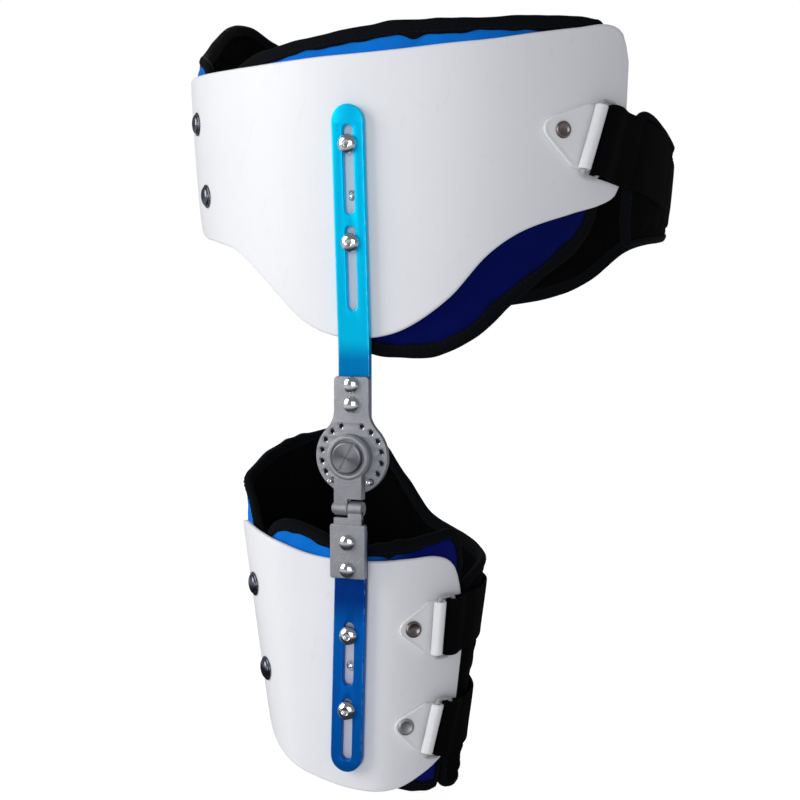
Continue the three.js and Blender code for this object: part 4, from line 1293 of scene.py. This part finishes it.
def tab_half(chafe, s):
    """Half the width of a tab: a triangle with a rounded tip."""
    from_tip = np.clip((s + chafe["length"]) / (chafe["length"] - 7), 0, 1)
    tip = np.sqrt(1 - (1 - np.minimum(1, from_tip * 5)) ** 2)
    return 0.5 * chafe["tab"] * np.minimum(1, 0.2 * tip + 0.8 * from_tip) + 0.4


def tab_piece(name, chafe):
    """A moulded tab with a raised rim, rolled over its ring's bar."""
    top = ring_height(chafe)
    flat = chafe["base"] + GAP + TAB_THICK / 2
    share = 1 - np.concatenate([[0, 0.004, 0.012, 0.025, 0.045, 0.07], np.linspace(0.1, 0.86, 26)])
    straight = stacked(-chafe["length"] * share, flat)
    rolled = arc(0, top, ROLL, 270, 556, 44)
    path = np.concatenate([straight, [(-2.2, flat + 0.03)], rolled])
    run, side = path_frame(path)
    half = tab_half(chafe, path[:, 0])
    half[len(straight):] = half[len(straight) - 1]
    across = np.concatenate([[-1, -0.985, -0.95, -0.9], np.linspace(-0.84, 0.84, 23), [0.9, 0.95, 0.985, 1]])
    w = half[:, None] * across
    ledge = stacked(run[:, None], w, 0)
    distance, _ = edge_distance(ledge)
    plain = 1 - smoothstep(path[:, 0], TAB_RIM["fades"], TAB_RIM["gone"])
    plain[len(straight):] = 0
    rim = TAB_RIM["high"] * plain[:, None] * (1 - smoothstep(distance, TAB_RIM["flat"], TAB_RIM["wide"]))
    thick = rounded(distance, TAB_RIM["edge"])
    place = chafe_map(chafe)
    under = -TAB_THICK / 2 * thick
    over = (TAB_THICK / 2 + rim) * thick

    def face(off):
        return place(path[:, :1] + side[:, :1] * off, w, path[:, 1:] + side[:, 1:] * off)

    points, faces, _, _ = two_faced(face(under), face(over), ledge[..., :2])
    return piece(name, points, turned_out(points, faces), ["tab"])


def ring_piece(name, chafe):
    """A moulded ring of round bar, slimmer at its two ends."""
    bar, end, span = RING["bar"] / 2, RING["end"], RING["span"]
    wide = chafe["strap"] / 2 + RING["play"] + end
    loop = rounded_corners(((0, -wide), (span, -wide), (span, wide), (0, wide)), RING["corner"], 9)
    closed = np.append(loop, loop[:1], axis=0)
    reach = run_along(closed)
    at = np.linspace(0, reach[-1], 120, endpoint=False)
    line = stacked(*(np.interp(at, reach, closed[:, k]) for k in (0, 1)))
    ahead = unit(np.roll(line, -1, axis=0) - np.roll(line, 1, axis=0))
    side = stacked(ahead[:, 1], -ahead[:, 0])
    turn = np.linspace(0, 2 * np.pi, 14, endpoint=False)
    slim = (bar + (end - bar) * np.abs(side[:, 1]))[:, None]
    flat = line[:, None, :] + side[:, None, :] * (slim * np.cos(turn))[..., None]
    n = ring_height(chafe) + slim * np.sin(turn)
    grid = chafe_map(chafe)(flat[..., 0], flat[..., 1], n)
    points = grid.reshape(-1, 3)
    return piece(name, points, turned_out(points, tube_quads(grid)), ["ring"])


# Geometry Nodes for what repeats
def node_group(name, sockets):
    """An empty tree with its named inputs and one geometry output."""
    tree = bpy.data.node_groups.new(name, "GeometryNodeTree")
    tree.interface.new_socket("Geometry", in_out="INPUT", socket_type="NodeSocketGeometry")
    for label, kind in sockets.items():
        tree.interface.new_socket(label, in_out="INPUT", socket_type="NodeSocket" + kind)
    tree.interface.new_socket("Geometry", in_out="OUTPUT", socket_type="NodeSocketGeometry")
    return tree, tree.nodes.new("NodeGroupInput"), tree.nodes.new("NodeGroupOutput")


def geo(tree, kind, settings=None, inputs=None):
    """A node with its settings and with values or sockets for its inputs."""
    made = tree.nodes.new(kind)
    for key, value in (settings or {}).items():
        setattr(made, key, value)
    for key, value in (inputs or {}).items():
        if isinstance(value, bpy.types.NodeSocket):
            tree.links.new(value, made.inputs[key])
        else:
            made.inputs[key].default_value = value
    return made


def instancing(tree, given, result, points, way):
    """Ends a tree: the template on every point with its Z along the way, in the given finish."""
    turn = geo(tree, "FunctionNodeAlignRotationToVector", dict(axis="Z"), {"Vector": way})
    template = geo(tree, "GeometryNodeObjectInfo", inputs={"Object": given.outputs["Template"]})
    placed = geo(tree, "GeometryNodeInstanceOnPoints", inputs={
        "Points": points, "Instance": template.outputs["Geometry"], "Rotation": turn.outputs[0],
    })
    real = geo(tree, "GeometryNodeRealizeInstances", inputs={"Geometry": placed.outputs[0]})
    dressed = geo(tree, "GeometryNodeSetMaterial", inputs={
        "Geometry": real.outputs[0], "Material": given.outputs["Finish"],
    })
    tree.links.new(dressed.outputs[0], result.inputs[0])
    return tree


def fastener_tree():
    """One template on every point, looking along the point's facing."""
    tree, given, result = node_group("brace_fasteners", {"Template": "Object", "Finish": "Material"})
    facing = geo(tree, "GeometryNodeInputNamedAttribute", dict(data_type="FLOAT_VECTOR"), {"Name": "facing"})
    return instancing(tree, given, result, given.outputs["Geometry"], facing.outputs[0])


def stitch_tree():
    """One stitch at every step along the sewing lines."""
    sockets = {"Template": "Object", "Step": "Float", "Finish": "Material"}
    tree, given, result = node_group("brace_stitches", sockets)
    line = geo(tree, "GeometryNodeMeshToCurve", inputs={"Mesh": given.outputs["Geometry"]})
    steps = geo(tree, "GeometryNodeResampleCurve", dict(mode="LENGTH"), {
        "Curve": line.outputs[0], "Length": given.outputs["Step"],
    })
    tangent = geo(tree, "GeometryNodeInputTangent")
    return instancing(tree, given, result, steps.outputs[0], tangent.outputs[0])


TREES = {}


def grown(obj, tree, values):
    """Runs a tree on an object and keeps the result as a plain mesh."""
    grow = obj.modifiers.new("grow", "NODES")
    grow.node_group = tree
    for item in tree.interface.items_tree:
        if item.in_out == "INPUT" and item.name in values:
            grow[item.identifier] = values[item.name]
    settled(obj)


def fasteners(name, template, spots, facings, look, sharp=35):
    """A piece of like fasteners, one on each spot."""
    mesh = bpy.data.meshes.new(name)
    mesh.from_pydata((np.asarray(spots) * MM).tolist(), [], [])
    facing = mesh.attributes.new("facing", "FLOAT_VECTOR", "POINT")
    facing.data.foreach_set("vector", np.asarray(facings, float).ravel())
    obj = added(name, mesh)
    master = piece(name + "_template", *template, [look], sharp=sharp)
    grown(obj, TREES["fasteners"], {"Template": master, "Finish": finish(look)})
    bpy.data.objects.remove(master)
    return obj


# Operators
class BRACE_OT_stage(Operator):
    """Camera, floor, background and soft light"""

    bl_idname = "brace.stage"
    bl_label = "Stage"

    def execute(self, context):
        scene = context.scene
        data = bpy.data.cameras.new("camera")
        data.lens = CAMERA_LENS
        data.sensor_width = CAMERA_SENSOR
        camera = added("camera", data)
        camera.location = CAMERA_AT
        camera.rotation_euler = Vector(CAMERA_LOOK).to_track_quat("-Z", "Y").to_euler()
        scene.camera = camera
        scene.view_settings.view_transform = "Standard"
        around = ((-1, -1), (1, -1), (1, 1), (-1, 1))
        corners = [(x * FLOOR_HALF, y * FLOOR_HALF, FLOOR_Z) for x, y in around]
        piece("floor", corners, [(0, 1, 2, 3)], ["floor"])
        for name, row in LIGHTS.items():
            self.light(name, *row)
        self.surround(scene)
        return {"FINISHED"}

    def light(self, name, spot, size, power, colour):
        data = bpy.data.lights.new(name, "AREA")
        data.size = size
        data.energy = power
        data.color = colour
        lamp = added(name, data)
        lamp.location = spot
        lamp.rotation_euler = (Vector(LIGHT_AIM) - Vector(spot)).to_track_quat("-Z", "Y").to_euler()

    def surround(self, scene):
        world = bpy.data.worlds.new("surround")
        world.use_nodes = True
        scene.world = world
        nodes, links = world.node_tree.nodes, world.node_tree.links
        glow = nodes["Background"]
        glow.inputs["Color"].default_value = GLOW_COLOUR
        glow.inputs["Strength"].default_value = GLOW_STRENGTH
        backdrop = nodes.new("ShaderNodeBackground")
        backdrop.inputs["Color"].default_value = (1, 1, 1, 1)
        ray = nodes.new("ShaderNodeLightPath")
        either = nodes.new("ShaderNodeMixShader")
        links.new(ray.outputs["Is Camera Ray"], either.inputs[0])
        links.new(glow.outputs[0], either.inputs[1])
        links.new(backdrop.outputs[0], either.inputs[2])
        links.new(either.outputs[0], nodes["World Output"].inputs[0])


class BRACE_OT_shells(Operator):
    """The white pelvic and thigh half shells"""

    bl_idname = "brace.shells"
    bl_label = "Shells"

    def execute(self, context):
        rim = context.scene.brace_sizes.shell_rim
        rows = (
            ("pelvic", PELVIS_FORM, PELVIC_SHELL_EDGE, SHELL_IN, UPPER_BAR, "pelvis"),
            ("thigh", THIGH_FORM, THIGH_SHELL_EDGE, THIGH_SHELL_IN, LOWER_BAR, "thigh"),
        )
        for prefix, form, edge, start, bar, body in rows:
            cuff = Cuff(form, edge, layer(start), layer(start + SHELL))
            obj = shell_piece(prefix + "_half_shell", cuff, rim, bar)
            handed_over(obj, body, "shell_plastic", prefix + "_shell")
        return {"FINISHED"}


def belt_layer(off):
    """The belt stands off at the front closure, and its top leans inward beside the shell's rear edge."""
    def place(angle, z):
        share = hump(angle, BELT_HUMP["angle"], BELT_HUMP["spread"])
        lean = BELT_HUMP["lean"] * share * smoothstep(z, BELT_HUMP["low"], BELT_HUMP["high"])
        return off + BELT_EDGE.read(angle, "lift") - lean
    return place


def pad_layer(off):
    """The far thigh pad stands off at the front, and flares a little beside the shell's rear edge."""
    def place(angle, z):
        share = hump(angle, PAD_FLARE["angle"], PAD_FLARE["spread"])
        flare = PAD_FLARE["out"] * share * smoothstep(z, PAD_FLARE["low"], PAD_FLARE["high"])
        return off + THIGH_PAD_EDGE.read(angle, "lift") + flare
    return place


PADS = {
    "pelvic_liner": Cuff(PELVIS_FORM, PELVIC_LINER_EDGE, layer(0), layer(LINER)),
    "pelvic_belt": Cuff(PELVIS_FORM, BELT_EDGE, belt_layer(0), belt_layer(LINER)),
    "thigh_liner": Cuff(THIGH_FORM, THIGH_LINER_EDGE, layer(0), layer(THIGH_LINER_OUT)),
    "thigh_pad": Cuff(THIGH_FORM, THIGH_PAD_EDGE, pad_layer(0), pad_layer(LINER)),
}


class BRACE_OT_pads(Operator):
    """The liners of both shells, the belt and the far thigh pad"""

    bl_idname = "brace.pads"
    bl_label = "Pads"

    def execute(self, context):
        sizes = context.scene.brace_sizes
        free = sizes.swell_out / MM
        tight = PAD["tight"]

        def snug(angle, z):
            return tight + 0 * angle

        def belt_room(angle, z):
            behind_shell = smoothstep(angle, -80, -70)
            under_strap = 1 - smoothstep(angle, -266, -256)
            return free + (tight - free) * np.maximum(behind_shell, under_strap)

        def between_straps(angle, z):
            covered = smoothstep(angle, -74, -68)
            for chafe in (THIGH_UPPER_CHAFE, THIGH_LOWER_CHAFE):
                along = np.radians(angle + 360 - chafe["angle"]) * chafe["around"]
                away = np.abs(z - chafe["z"] - chafe_drop(chafe, along)) - chafe["strap"] / 2
                covered = np.maximum(covered, 1 - smoothstep(away, 1, 7))
            return free + (tight - free) * covered

        def belt_wave(angle, z):
            open_run = smoothstep(angle, -255, -230) * (1 - smoothstep(angle, -95, -75))
            slow = 0.9 * np.sin(np.radians(angle * 7) + z / 60)
            quick = 0.5 * np.sin(np.radians(angle * 17))
            return open_run * (slow + quick)

        patched = ["lining", "binding", "loop_patch"]
        rows = (
            ("pelvic_liner", "pelvis", snug, ["pelvic_cloth", "lining"], None),
            ("pelvic_belt", "pelvis", belt_room, ["belt_cloth", *patched], belt_wave),
            ("thigh_liner", "thigh", snug, ["thigh_cloth", "lining"], None),
            ("thigh_pad", "thigh", between_straps, ["thigh_cloth", *patched], None),
        )
        for pad, body, room, cloths, wave in rows:
            obj = pad_piece(pad, sizes, room, cloths, wave)
            handed_over(obj, body, "liner_fabric", pad)
        return {"FINISHED"}


class BRACE_OT_bars(Operator):
    """The two slotted bars"""

    bl_idname = "brace.bars"
    bl_label = "Bars"

    def execute(self, context):
        bevel = context.scene.brace_sizes.bar_bevel / MM
        for prefix, bar, body in (("upper", UPPER_BAR, "upper"), ("lower", LOWER_BAR, "lower")):
            obj = bar_piece(prefix + "_slotted_bar", bar, bevel, prefix + "_bar")
            handed_over(obj, body, "bar_blue", prefix + "_bar")
        return {"FINISHED"}


class BRACE_OT_hinge(Operator):
    """The drilled dial, its arm and pivot screw, the stop pins and the abduction knuckles"""

    bl_idname = "brace.hinge"
    bl_label = "Hinge"

    def execute(self, context):
        bevel = context.scene.brace_sizes.plate_bevel / MM
        self.dial(bevel)
        self.steel("hinge_drop_arm", self.arm(bevel), "arm", "hinge_arm")
        self.steel("hinge_lower_leaf", self.leaf(bevel), "lower", "hinge_leaf")
        self.pivot()
        self.steel("abduction_pin_turned", self.pin(), "arm", "abduction_pin")
        self.stops()
        return {"FINISHED"}

    def steel(self, name, form, body, node):
        obj = piece(name, *form, ["steel"], sharp=CRISP)
        handed_over(obj, body, "hinge_steel", node)

    def dial(self, bevel):
        """The drilled head, a near-black disc inside it as painted shade at the bottom of its holes, and
        bright rims in them.
        """
        head = shifted(self.head(bevel), (0, HEAD["back"] - HEAD["thick"] / 2, 0))
        # Painted shade: a near-black disc closes the dial's holes
        disc = circle(0, HINGE_Z, HEAD["radius"] - SHADE_DISC["inset"], 72)
        shade_disc = plate([disc, circle(0, HINGE_Z, PIVOT["bore"], 32)], SHADE_DISC["thick"], SHADE_DISC["bevel"])
        shade_disc = shifted(shade_disc, (0, HEAD["back"] - SHADE_DISC["deep"], 0))
        forms = (head, shade_disc, self.countersinks())
        looks = np.repeat([0, 1, 2], [len(faces) for _, faces in forms])
        finishes = ["steel", "hole_floor", "countersink"]
        obj = piece("hinge_dial", *together(*forms), finishes, face_finish=looks, sharp=CRISP)
        handed_over(obj, "upper", "hinge_steel", "hinge_head")

    def dial_points(self, first, last):
        """Middles of the dial's holes from one number to another, on both sides."""
        for number in range(first, last + 1):
            for side in (-1, 1):
                turn = math.radians(side * number * HOLES["step"])
                yield HOLES["circle"] * math.sin(turn), HINGE_Z + HOLES["circle"] * math.cos(turn)

    def head(self, bevel):
        half, top, shoulder = HEAD["width"] / 2, HEAD["top"], HEAD["shoulder"]
        corner, meet = HEAD["corner"], HEAD["meet"]
        neck = arc(0, HINGE_Z, HEAD["radius"], meet, 180 - meet - 360, 96)
        t = np.linspace(0, 1, 10)[:-1, None]
        flare = (1 - t) ** 2 * np.array((half, shoulder)) + t ** 2 * neck[0]
        flare = flare + 2 * t * (1 - t) * np.array((half + 0.3, shoulder - 6.5))
        mirror = flare[::-1] * (-1, 1)
        upper = [(-half, top - corner), (-half + corner, top), (half - corner, top), (half, top - corner)]
        outline = np.concatenate([upper, flare, neck, mirror])
        holes = [circle(x, z, HOLES["radius"], 20) for x, z in self.dial_points(1, HOLES["each"])]
        return plate([outline, circle(0, HINGE_Z, PIVOT["bore"], 32), *holes], HEAD["thick"], bevel)

    def countersinks(self):
        """Bright dished rims of the dial's free holes."""
        wide, narrow, deep = HOLES["radius"] + 0.5, HOLES["radius"] - 0.4, 1.6
        profile = [(narrow, -deep), (wide, -deep), (wide, 0.04), (narrow, -0.6), (narrow, -deep)]
        free = self.dial_points(1, HOLES["each"] - 1)
        return together(*(turned(profile, 24, (x, HEAD_FRONT, z), OUT) for x, z in free))

    def arm(self, bevel):
        half, radius, foot = ARM["width"] / 2, ARM["radius"], KNUCKLE["z"]
        neck = math.degrees(math.acos(half / radius))
        outline = np.concatenate([
            arc(0, HINGE_Z, radius, -neck, 180 + neck, 60),
            [(-half, foot), (-GAP / 2, foot), (-GAP / 2, ARM["bottom"]), (half, ARM["bottom"])],
        ])
        flat = plate([outline, circle(0, HINGE_Z, PIVOT["bore"], 32)], ARM["thick"], bevel)
        flat = shifted(flat, (0, ARM_BACK - ARM["thick"] / 2, 0))
        collar = [
            (10.7, -0.4), (13.5, -0.4), (13.5, 0.35), (13.2, 0.75), (12.4, 1.05), (11.5, 1.05), (10.9, 0.7),
            (10.7, 0.2), (10.7, -0.4),
        ]
        ring = turned(collar, 72, (0, ARM_FRONT, HINGE_Z), OUT)
        return together(flat, ring, self.knuckle(-half, -GAP / 2, KNUCKLE["radius"]))

    def knuckle(self, start, end, radius, bore=True):
        chamfer = 0.35
        long = end - start
        inside = KNUCKLE["bore"] if bore else 0
        profile = [(inside, 0), (radius - chamfer, 0), (radius, chamfer), (radius, long - chamfer),
                   (radius - chamfer, long), (inside, long)]
        if bore:
            profile.append((inside, 0))
        return turned(profile, 40, (start, KNUCKLE["y"], KNUCKLE["z"]), (1, 0, 0))

    def leaf(self, bevel):
        half, top, bottom, end = LEAF["width"] / 2, LEAF["top"], LEAF["bottom"], ARM["width"] / 2
        body = rounded_corners([(-half, top), (-half, bottom), (half, bottom), (half, top)], HEAD["corner"])
        tongue = [(GAP / 2, KNUCKLE["z"]), (GAP / 2, top - 3), (end, top - 3), (end, KNUCKLE["z"])]
        middle = (0, LEAF["back"] - LEAF["thick"] / 2, 0)
        flat = shifted(plate([body], LEAF["thick"], bevel), middle)
        neck = shifted(plate([tongue], LEAF["thick"] - 0.6, bevel), middle)
        clear = KNUCKLE["z"] - KNUCKLE["radius"] - 1
        ledge = rounded_corners([(-end, clear), (-end, top - 3), (end, top - 3), (end, clear)], 0.8)
        step = shifted(plate([ledge], LEAF["thick"] - 1.0, bevel), middle)
        return together(flat, neck, step, self.knuckle(GAP / 2, end, KNUCKLE["radius"]))

    def pin(self):
        end = ARM["width"] / 2
        seat = -end - GAP
        shank = self.knuckle(seat - 1, end, KNUCKLE["pin"], bore=False)
        profile = dome(KNUCKLE["cap_radius"], KNUCKLE["cap"], 0.5)
        cap = turned(profile, 36, (seat, KNUCKLE["y"], KNUCKLE["z"]), (-1, 0, 0))
        return together(shank, cap)

    def pivot(self):
        head, thick = PIVOT["head"], PIVOT["thick"]
        rim, shank = 1.3, 4
        deep = HEAD["thick"] + ARM["thick"] + GAP
        profile = [
            (0, -deep), (shank, -deep), (shank, 0), (head - 0.2, 0), (head, 0.2), (head, thick - rim),
            (head - 0.5, thick - 0.45), (head - rim, thick), (head - rim - 0.3, thick), (head * 0.5, thick),
            (0, thick),
        ]
        seat = (0, ARM_FRONT - GAP, HINGE_Z)
        obj = piece("hinge_pivot", *turned(profile, 72, seat, OUT), ["spun"], sharp=CRISP)
        cut_by(obj, self.slot_cutter(seat[1] - thick))
        handed_over(obj, "upper", "hinge_steel", "hinge_pivot_screw")

    def slot_cutter(self, front):
        """A block that cuts the screwdriver slot."""
        half, wide, edge = PIVOT["slot"] / 2, 2 * PIVOT["head"], 0.1
        corners = rounded_corners([(-wide, -half), (wide, -half), (wide, half), (-wide, half)], edge)
        points, faces = plate([corners], 2 * PIVOT["deep"], edge)
        turn = math.radians(90 - PIVOT["turn"])
        x, y, z = points.T
        across = x * math.cos(turn) - z * math.sin(turn)
        up = x * math.sin(turn) + z * math.cos(turn) + HINGE_Z
        return piece("slot_cutter", stacked(across, y + front - edge, up), faces, ["spun"])

    def stops(self):
        radius, long = STOP_PIN["radius"], HEAD["thick"] + STOP_PIN["proud"]
        tip = [(radius, long - 0.6), (radius - 0.25, long - 0.15), (radius - 0.7, long)]
        profile = [(0, 0), (radius, 0), *tip, (0, long)]
        last = HOLES["each"]
        spots = [(x, HEAD["back"], z) for x, z in self.dial_points(last, last)]
        obj = fasteners("stop_pins", lathe(profile, 28), spots, [OUT] * 2, "chrome")
        handed_over(obj, "upper", "hinge_steel", "stop_pin_rear", "stop_pin_front")


class BRACE_OT_fasteners(Operator):
    """Bar screws, plate screws, spare inserts, rear rivets and eyelets"""

    bl_idname = "brace.fasteners"
    bl_label = "Fasteners"

    def execute(self, context):
        self.bar_screws()
        self.plate_screws()
        self.rear_rivets()
        self.eyelets()
        return {"FINISHED"}

    def bar_screws(self):
        radius, high, rim, socket, deep, shank = 5.8, 3.4, 0.5, 2.3, 1.5, 3
        long = BAR["thick"] + SHELL
        rise = np.radians(np.linspace(8, 66, 8))
        lift = (high - rim) / math.sin(rise[-1])
        crown = [(radius * math.cos(t) + 0.05, rim + lift * math.sin(t)) for t in rise]
        profile = [
            (0, -long), (shank, -long), (shank, 0), (radius - 0.15, 0), (radius, 0.15), *crown,
            (socket + 0.25, high), (socket, high - 0.2), (socket, high - deep), (0, high - deep - 0.4),
        ]
        count = len(profile)
        template = lathe(profile, 48, {count - 3, count - 2})
        insert = [
            (0, 0), (3, 0), (3, SHELL + 0.1), (2.7, SHELL + 0.35), (2.0, SHELL + 0.35), (1.7, SHELL),
            (1.7, 1.2), (0, 1.0),
        ]
        for prefix, bar, body in (("upper", UPPER_BAR, "pelvis"), ("lower", LOWER_BAR, "thigh")):
            facing = bar_facing(bar)
            spots = [(0, bar_y(bar, z) - BAR["thick"] - GAP, z) for z in bar["screws"]]
            obj = fasteners(prefix + "_bar_screws", template, spots, [facing] * 2, "chrome", sharp=50)
            handed_over(obj, body, "screw_chrome", prefix + "_bar_screw_1", prefix + "_bar_screw_2")
            floor = (0, bar_y(bar, bar["insert"]) + SHELL + 0.7, bar["insert"])
            obj = fasteners(prefix + "_spare_insert", lathe(insert, 32), [floor], [facing], "chrome")
            handed_over(obj, body, "screw_chrome", prefix + "_bar_insert")

    def plate_screws(self):
        template = lathe(dome(5.1, 3.0, 0.5), 40)
        rows = (("head", HEAD_SCREWS, HEAD_FRONT, "upper"), ("leaf", LEAF_SCREWS, LEAF_FRONT, "lower"))
        for plate_name, heights, front, body in rows:
            spots = [(0, front - GAP, z) for z in heights]
            prefix = "hinge_" + plate_name
            obj = fasteners(prefix + "_screws", template, spots, [OUT] * 2, "chrome", sharp=60)
            handed_over(obj, body, "screw_chrome", prefix + "_screw_1", prefix + "_screw_2")

    def rear_rivets(self):
        radius, seat, high = 6.5, 1.0, 2.4
        washer = [(0, 0), (7.8, 0), (7.8, 0.5), (7.4, 0.85), (radius, 0.95)]
        rise = np.radians(np.linspace(0, 90, 10))
        crown = [(radius * math.cos(t), seat + high * math.sin(t)) for t in rise]
        template = lathe([*washer, *crown], 44)
        rows = (("pelvic", PELVIS_FORM, PELVIC_RIVETS, SHELL_OUT, "pelvis"),
                ("thigh", THIGH_FORM, THIGH_RIVETS, THIGH_SHELL_OUT, "thigh"))
        for prefix, form, rivets, off, body in rows:
            spots = [on_form(form, angle, z, off + GAP) for angle, z in rivets]
            facings = [outward(form, angle, z) for angle, z in rivets]
            obj = fasteners(prefix + "_rear_rivets", template, spots, facings, "dark_rivet", sharp=50)
            handed_over(obj, body, "screw_chrome", prefix + "_rivet_1", prefix + "_rivet_2")

    def eyelets(self):
        rim = [(5.2, 0), (5.2, 0.5), (4.9, 1.0), (4.3, 1.35)]
        dish = [(3.5, 1.3), (2.9, 0.85), (2.2, 0.6)]
        template = lathe([(0, 0), *rim, *dish, (0, 0.5)], 40)
        for chafe in CHAFES:
            along = -chafe["rivet"]
            seat = chafe_map(chafe)(along, 0.0, chafe["base"] + TAB_THICK + 2 * GAP)
            facing = outward(chafe["form"], chafe_angle(chafe, along), seat[2])
            name = chafe["name"] + "_eyelet"
            obj = fasteners(name, template, [seat], [facing], chafe["eyelet"], sharp=50)
            handed_over(obj, chafe["body"], "screw_chrome", chafe["name"] + "_chafe_rivet")


class BRACE_OT_straps(Operator):
    """Webbing straps with their tabs and rings"""

    bl_idname = "brace.straps"
    bl_label = "Straps"

    def execute(self, context):
        for chafe in CHAFES:
            prefix, body, under = chafe["name"], chafe["body"], [chafe["under"]]
            strap, flat_length = strap_piece(prefix + "_webbing", chafe)
            handed_over(strap, body, "strap_fabric", prefix + "_strap")
            chafe["strap"] * MM
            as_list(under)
            tab = tab_piece(prefix + "_tab", chafe)
            handed_over(tab, body, "ring_plastic", prefix + "_chafe_tab")
            ring = ring_piece(prefix + "_moulded_ring", chafe)
            handed_over(ring, body, "ring_plastic", prefix + "_ring")
        return {"FINISHED"}


class BRACE_OT_stitching(Operator):
    """Sewing along the bindings and along the loop cloth's seams"""

    bl_idname = "brace.stitching"
    bl_label = "Stitching"

    def execute(self, context):
        sizes = context.scene.brace_sizes
        half, thick = sizes.stitch / MM / 2, sizes.thread / MM
        slim, near = 0.75 * thick, 0.85 * half
        profile = [(0, -half), (slim, -near), (thick, 0), (slim, near), (0, half)]
        stitch = piece("stitch_template", *lathe(profile, 6), ["thread"])
        values = {"Template": stitch, "Step": sizes.stitch_step, "Finish": finish("thread")}
        for body, prefix in (("pelvis", "pelvic"), ("thigh", "thigh")):
            pads = [pad for pad in PADS if pad.startswith(prefix)]
            loops = [line for pad in pads for line in self.binding_lines(pad, sizes)]
            seams = [line for pad in pads if pad in PATCH_ENDS for line in self.patch_lines(pad, sizes)]
            edges, start = [], 0
            for number, line in enumerate(loops + seams):
                ids = np.arange(start, start + len(line))
                pairs = stacked(ids, np.roll(ids, -1))
                edges.append(pairs if number < len(loops) else pairs[:-1])
                start += len(line)
            mesh = bpy.data.meshes.new(body + "_stitches")
            points = np.concatenate(loops + seams) * MM
            mesh.from_pydata(points.tolist(), np.concatenate(edges).tolist(), [])
            obj = added(body + "_stitches", mesh)
            grown(obj, TREES["stitches"], values)
            handed_over(obj, body, "strap_fabric")
        bpy.data.objects.remove(stitch)
        return {"FINISHED"}

    def patch_lines(self, pad, sizes):
        """Two rows of stitches where the loop cloth is sewn to the blue cloth."""
        cuff, tape = PADS[pad], tape_width(pad, sizes)
        for beside in (-1.2, 1.2):
            angle = PATCH_ENDS[pad] + beside
            bottom, top = cuff.ends(angle)
            z = np.linspace(bottom + tape, top - tape, 60)
            yield on_form(cuff.form, angle + 0 * z, z, cuff.outer(angle, z) + 0.1)

    def binding_lines(self, pad, sizes):
        """The sewing line on both faces of a pad, just inside the tape's edge."""
        cuff = PADS[pad]
        angle, z, inward_angle, inward_z, _ = cuff.outline(BINDING["step"])
        lift = sizes.binding_lift / MM + 0.12 - PAD["slack"]
        for face, rise, share in ((cuff.outer, lift, FOLDS[pad]), (cuff.inner, -lift, 1.0)):
            reach = share * tape_width(pad, sizes) - 1.7
            around = angle + inward_angle * reach
            yield on_form(cuff.form, around, z + inward_z * reach, face(angle, z) + rise)


class BRACE_PT_pieces(Panel):
    """Lists the brace's operators, sizes and colours"""

    bl_idname = "BRACE_PT_pieces"
    bl_label = "Hip brace"
    bl_space_type = "VIEW_3D"
    bl_region_type = "UI"
    bl_category = "Brace"

    def draw(self, context):
        for step in STEPS:
            self.layout.operator(step.bl_idname)
        for group in (context.scene.brace_sizes, context.scene.brace_colours):
            box = self.layout.box()
            for key in group.bl_rna.properties.keys():
                if key not in {"rna_type", "name"}:
                    box.prop(group, key)


STEPS = (
    BRACE_OT_stage, BRACE_OT_shells, BRACE_OT_pads, BRACE_OT_bars, BRACE_OT_hinge, BRACE_OT_fasteners,
    BRACE_OT_straps, BRACE_OT_stitching,
)
CLASSES = (BraceSizes, BraceColours, *STEPS, BRACE_PT_pieces)


def register():
    for each in CLASSES:
        bpy.utils.register_class(each)
    bpy.types.Scene.brace_sizes = PointerProperty(type=BraceSizes)
    bpy.types.Scene.brace_colours = PointerProperty(type=BraceColours)


def unregister():
    del bpy.types.Scene.brace_colours
    del bpy.types.Scene.brace_sizes
    for each in reversed(CLASSES):
        bpy.utils.unregister_class(each)


def main():
    register()
    TREES["fasteners"] = fastener_tree()
    TREES["stitches"] = stitch_tree()
    bpy.ops.brace.stage()
    bpy.ops.brace.shells()
    bpy.ops.brace.pads()
    bpy.ops.brace.bars()
    bpy.ops.brace.hinge()
    bpy.ops.brace.fasteners()
    bpy.ops.brace.straps()
    bpy.ops.brace.stitching()
    for tree in TREES.values():
        bpy.data.node_groups.remove(tree)


if __name__ == "__main__":
    main()
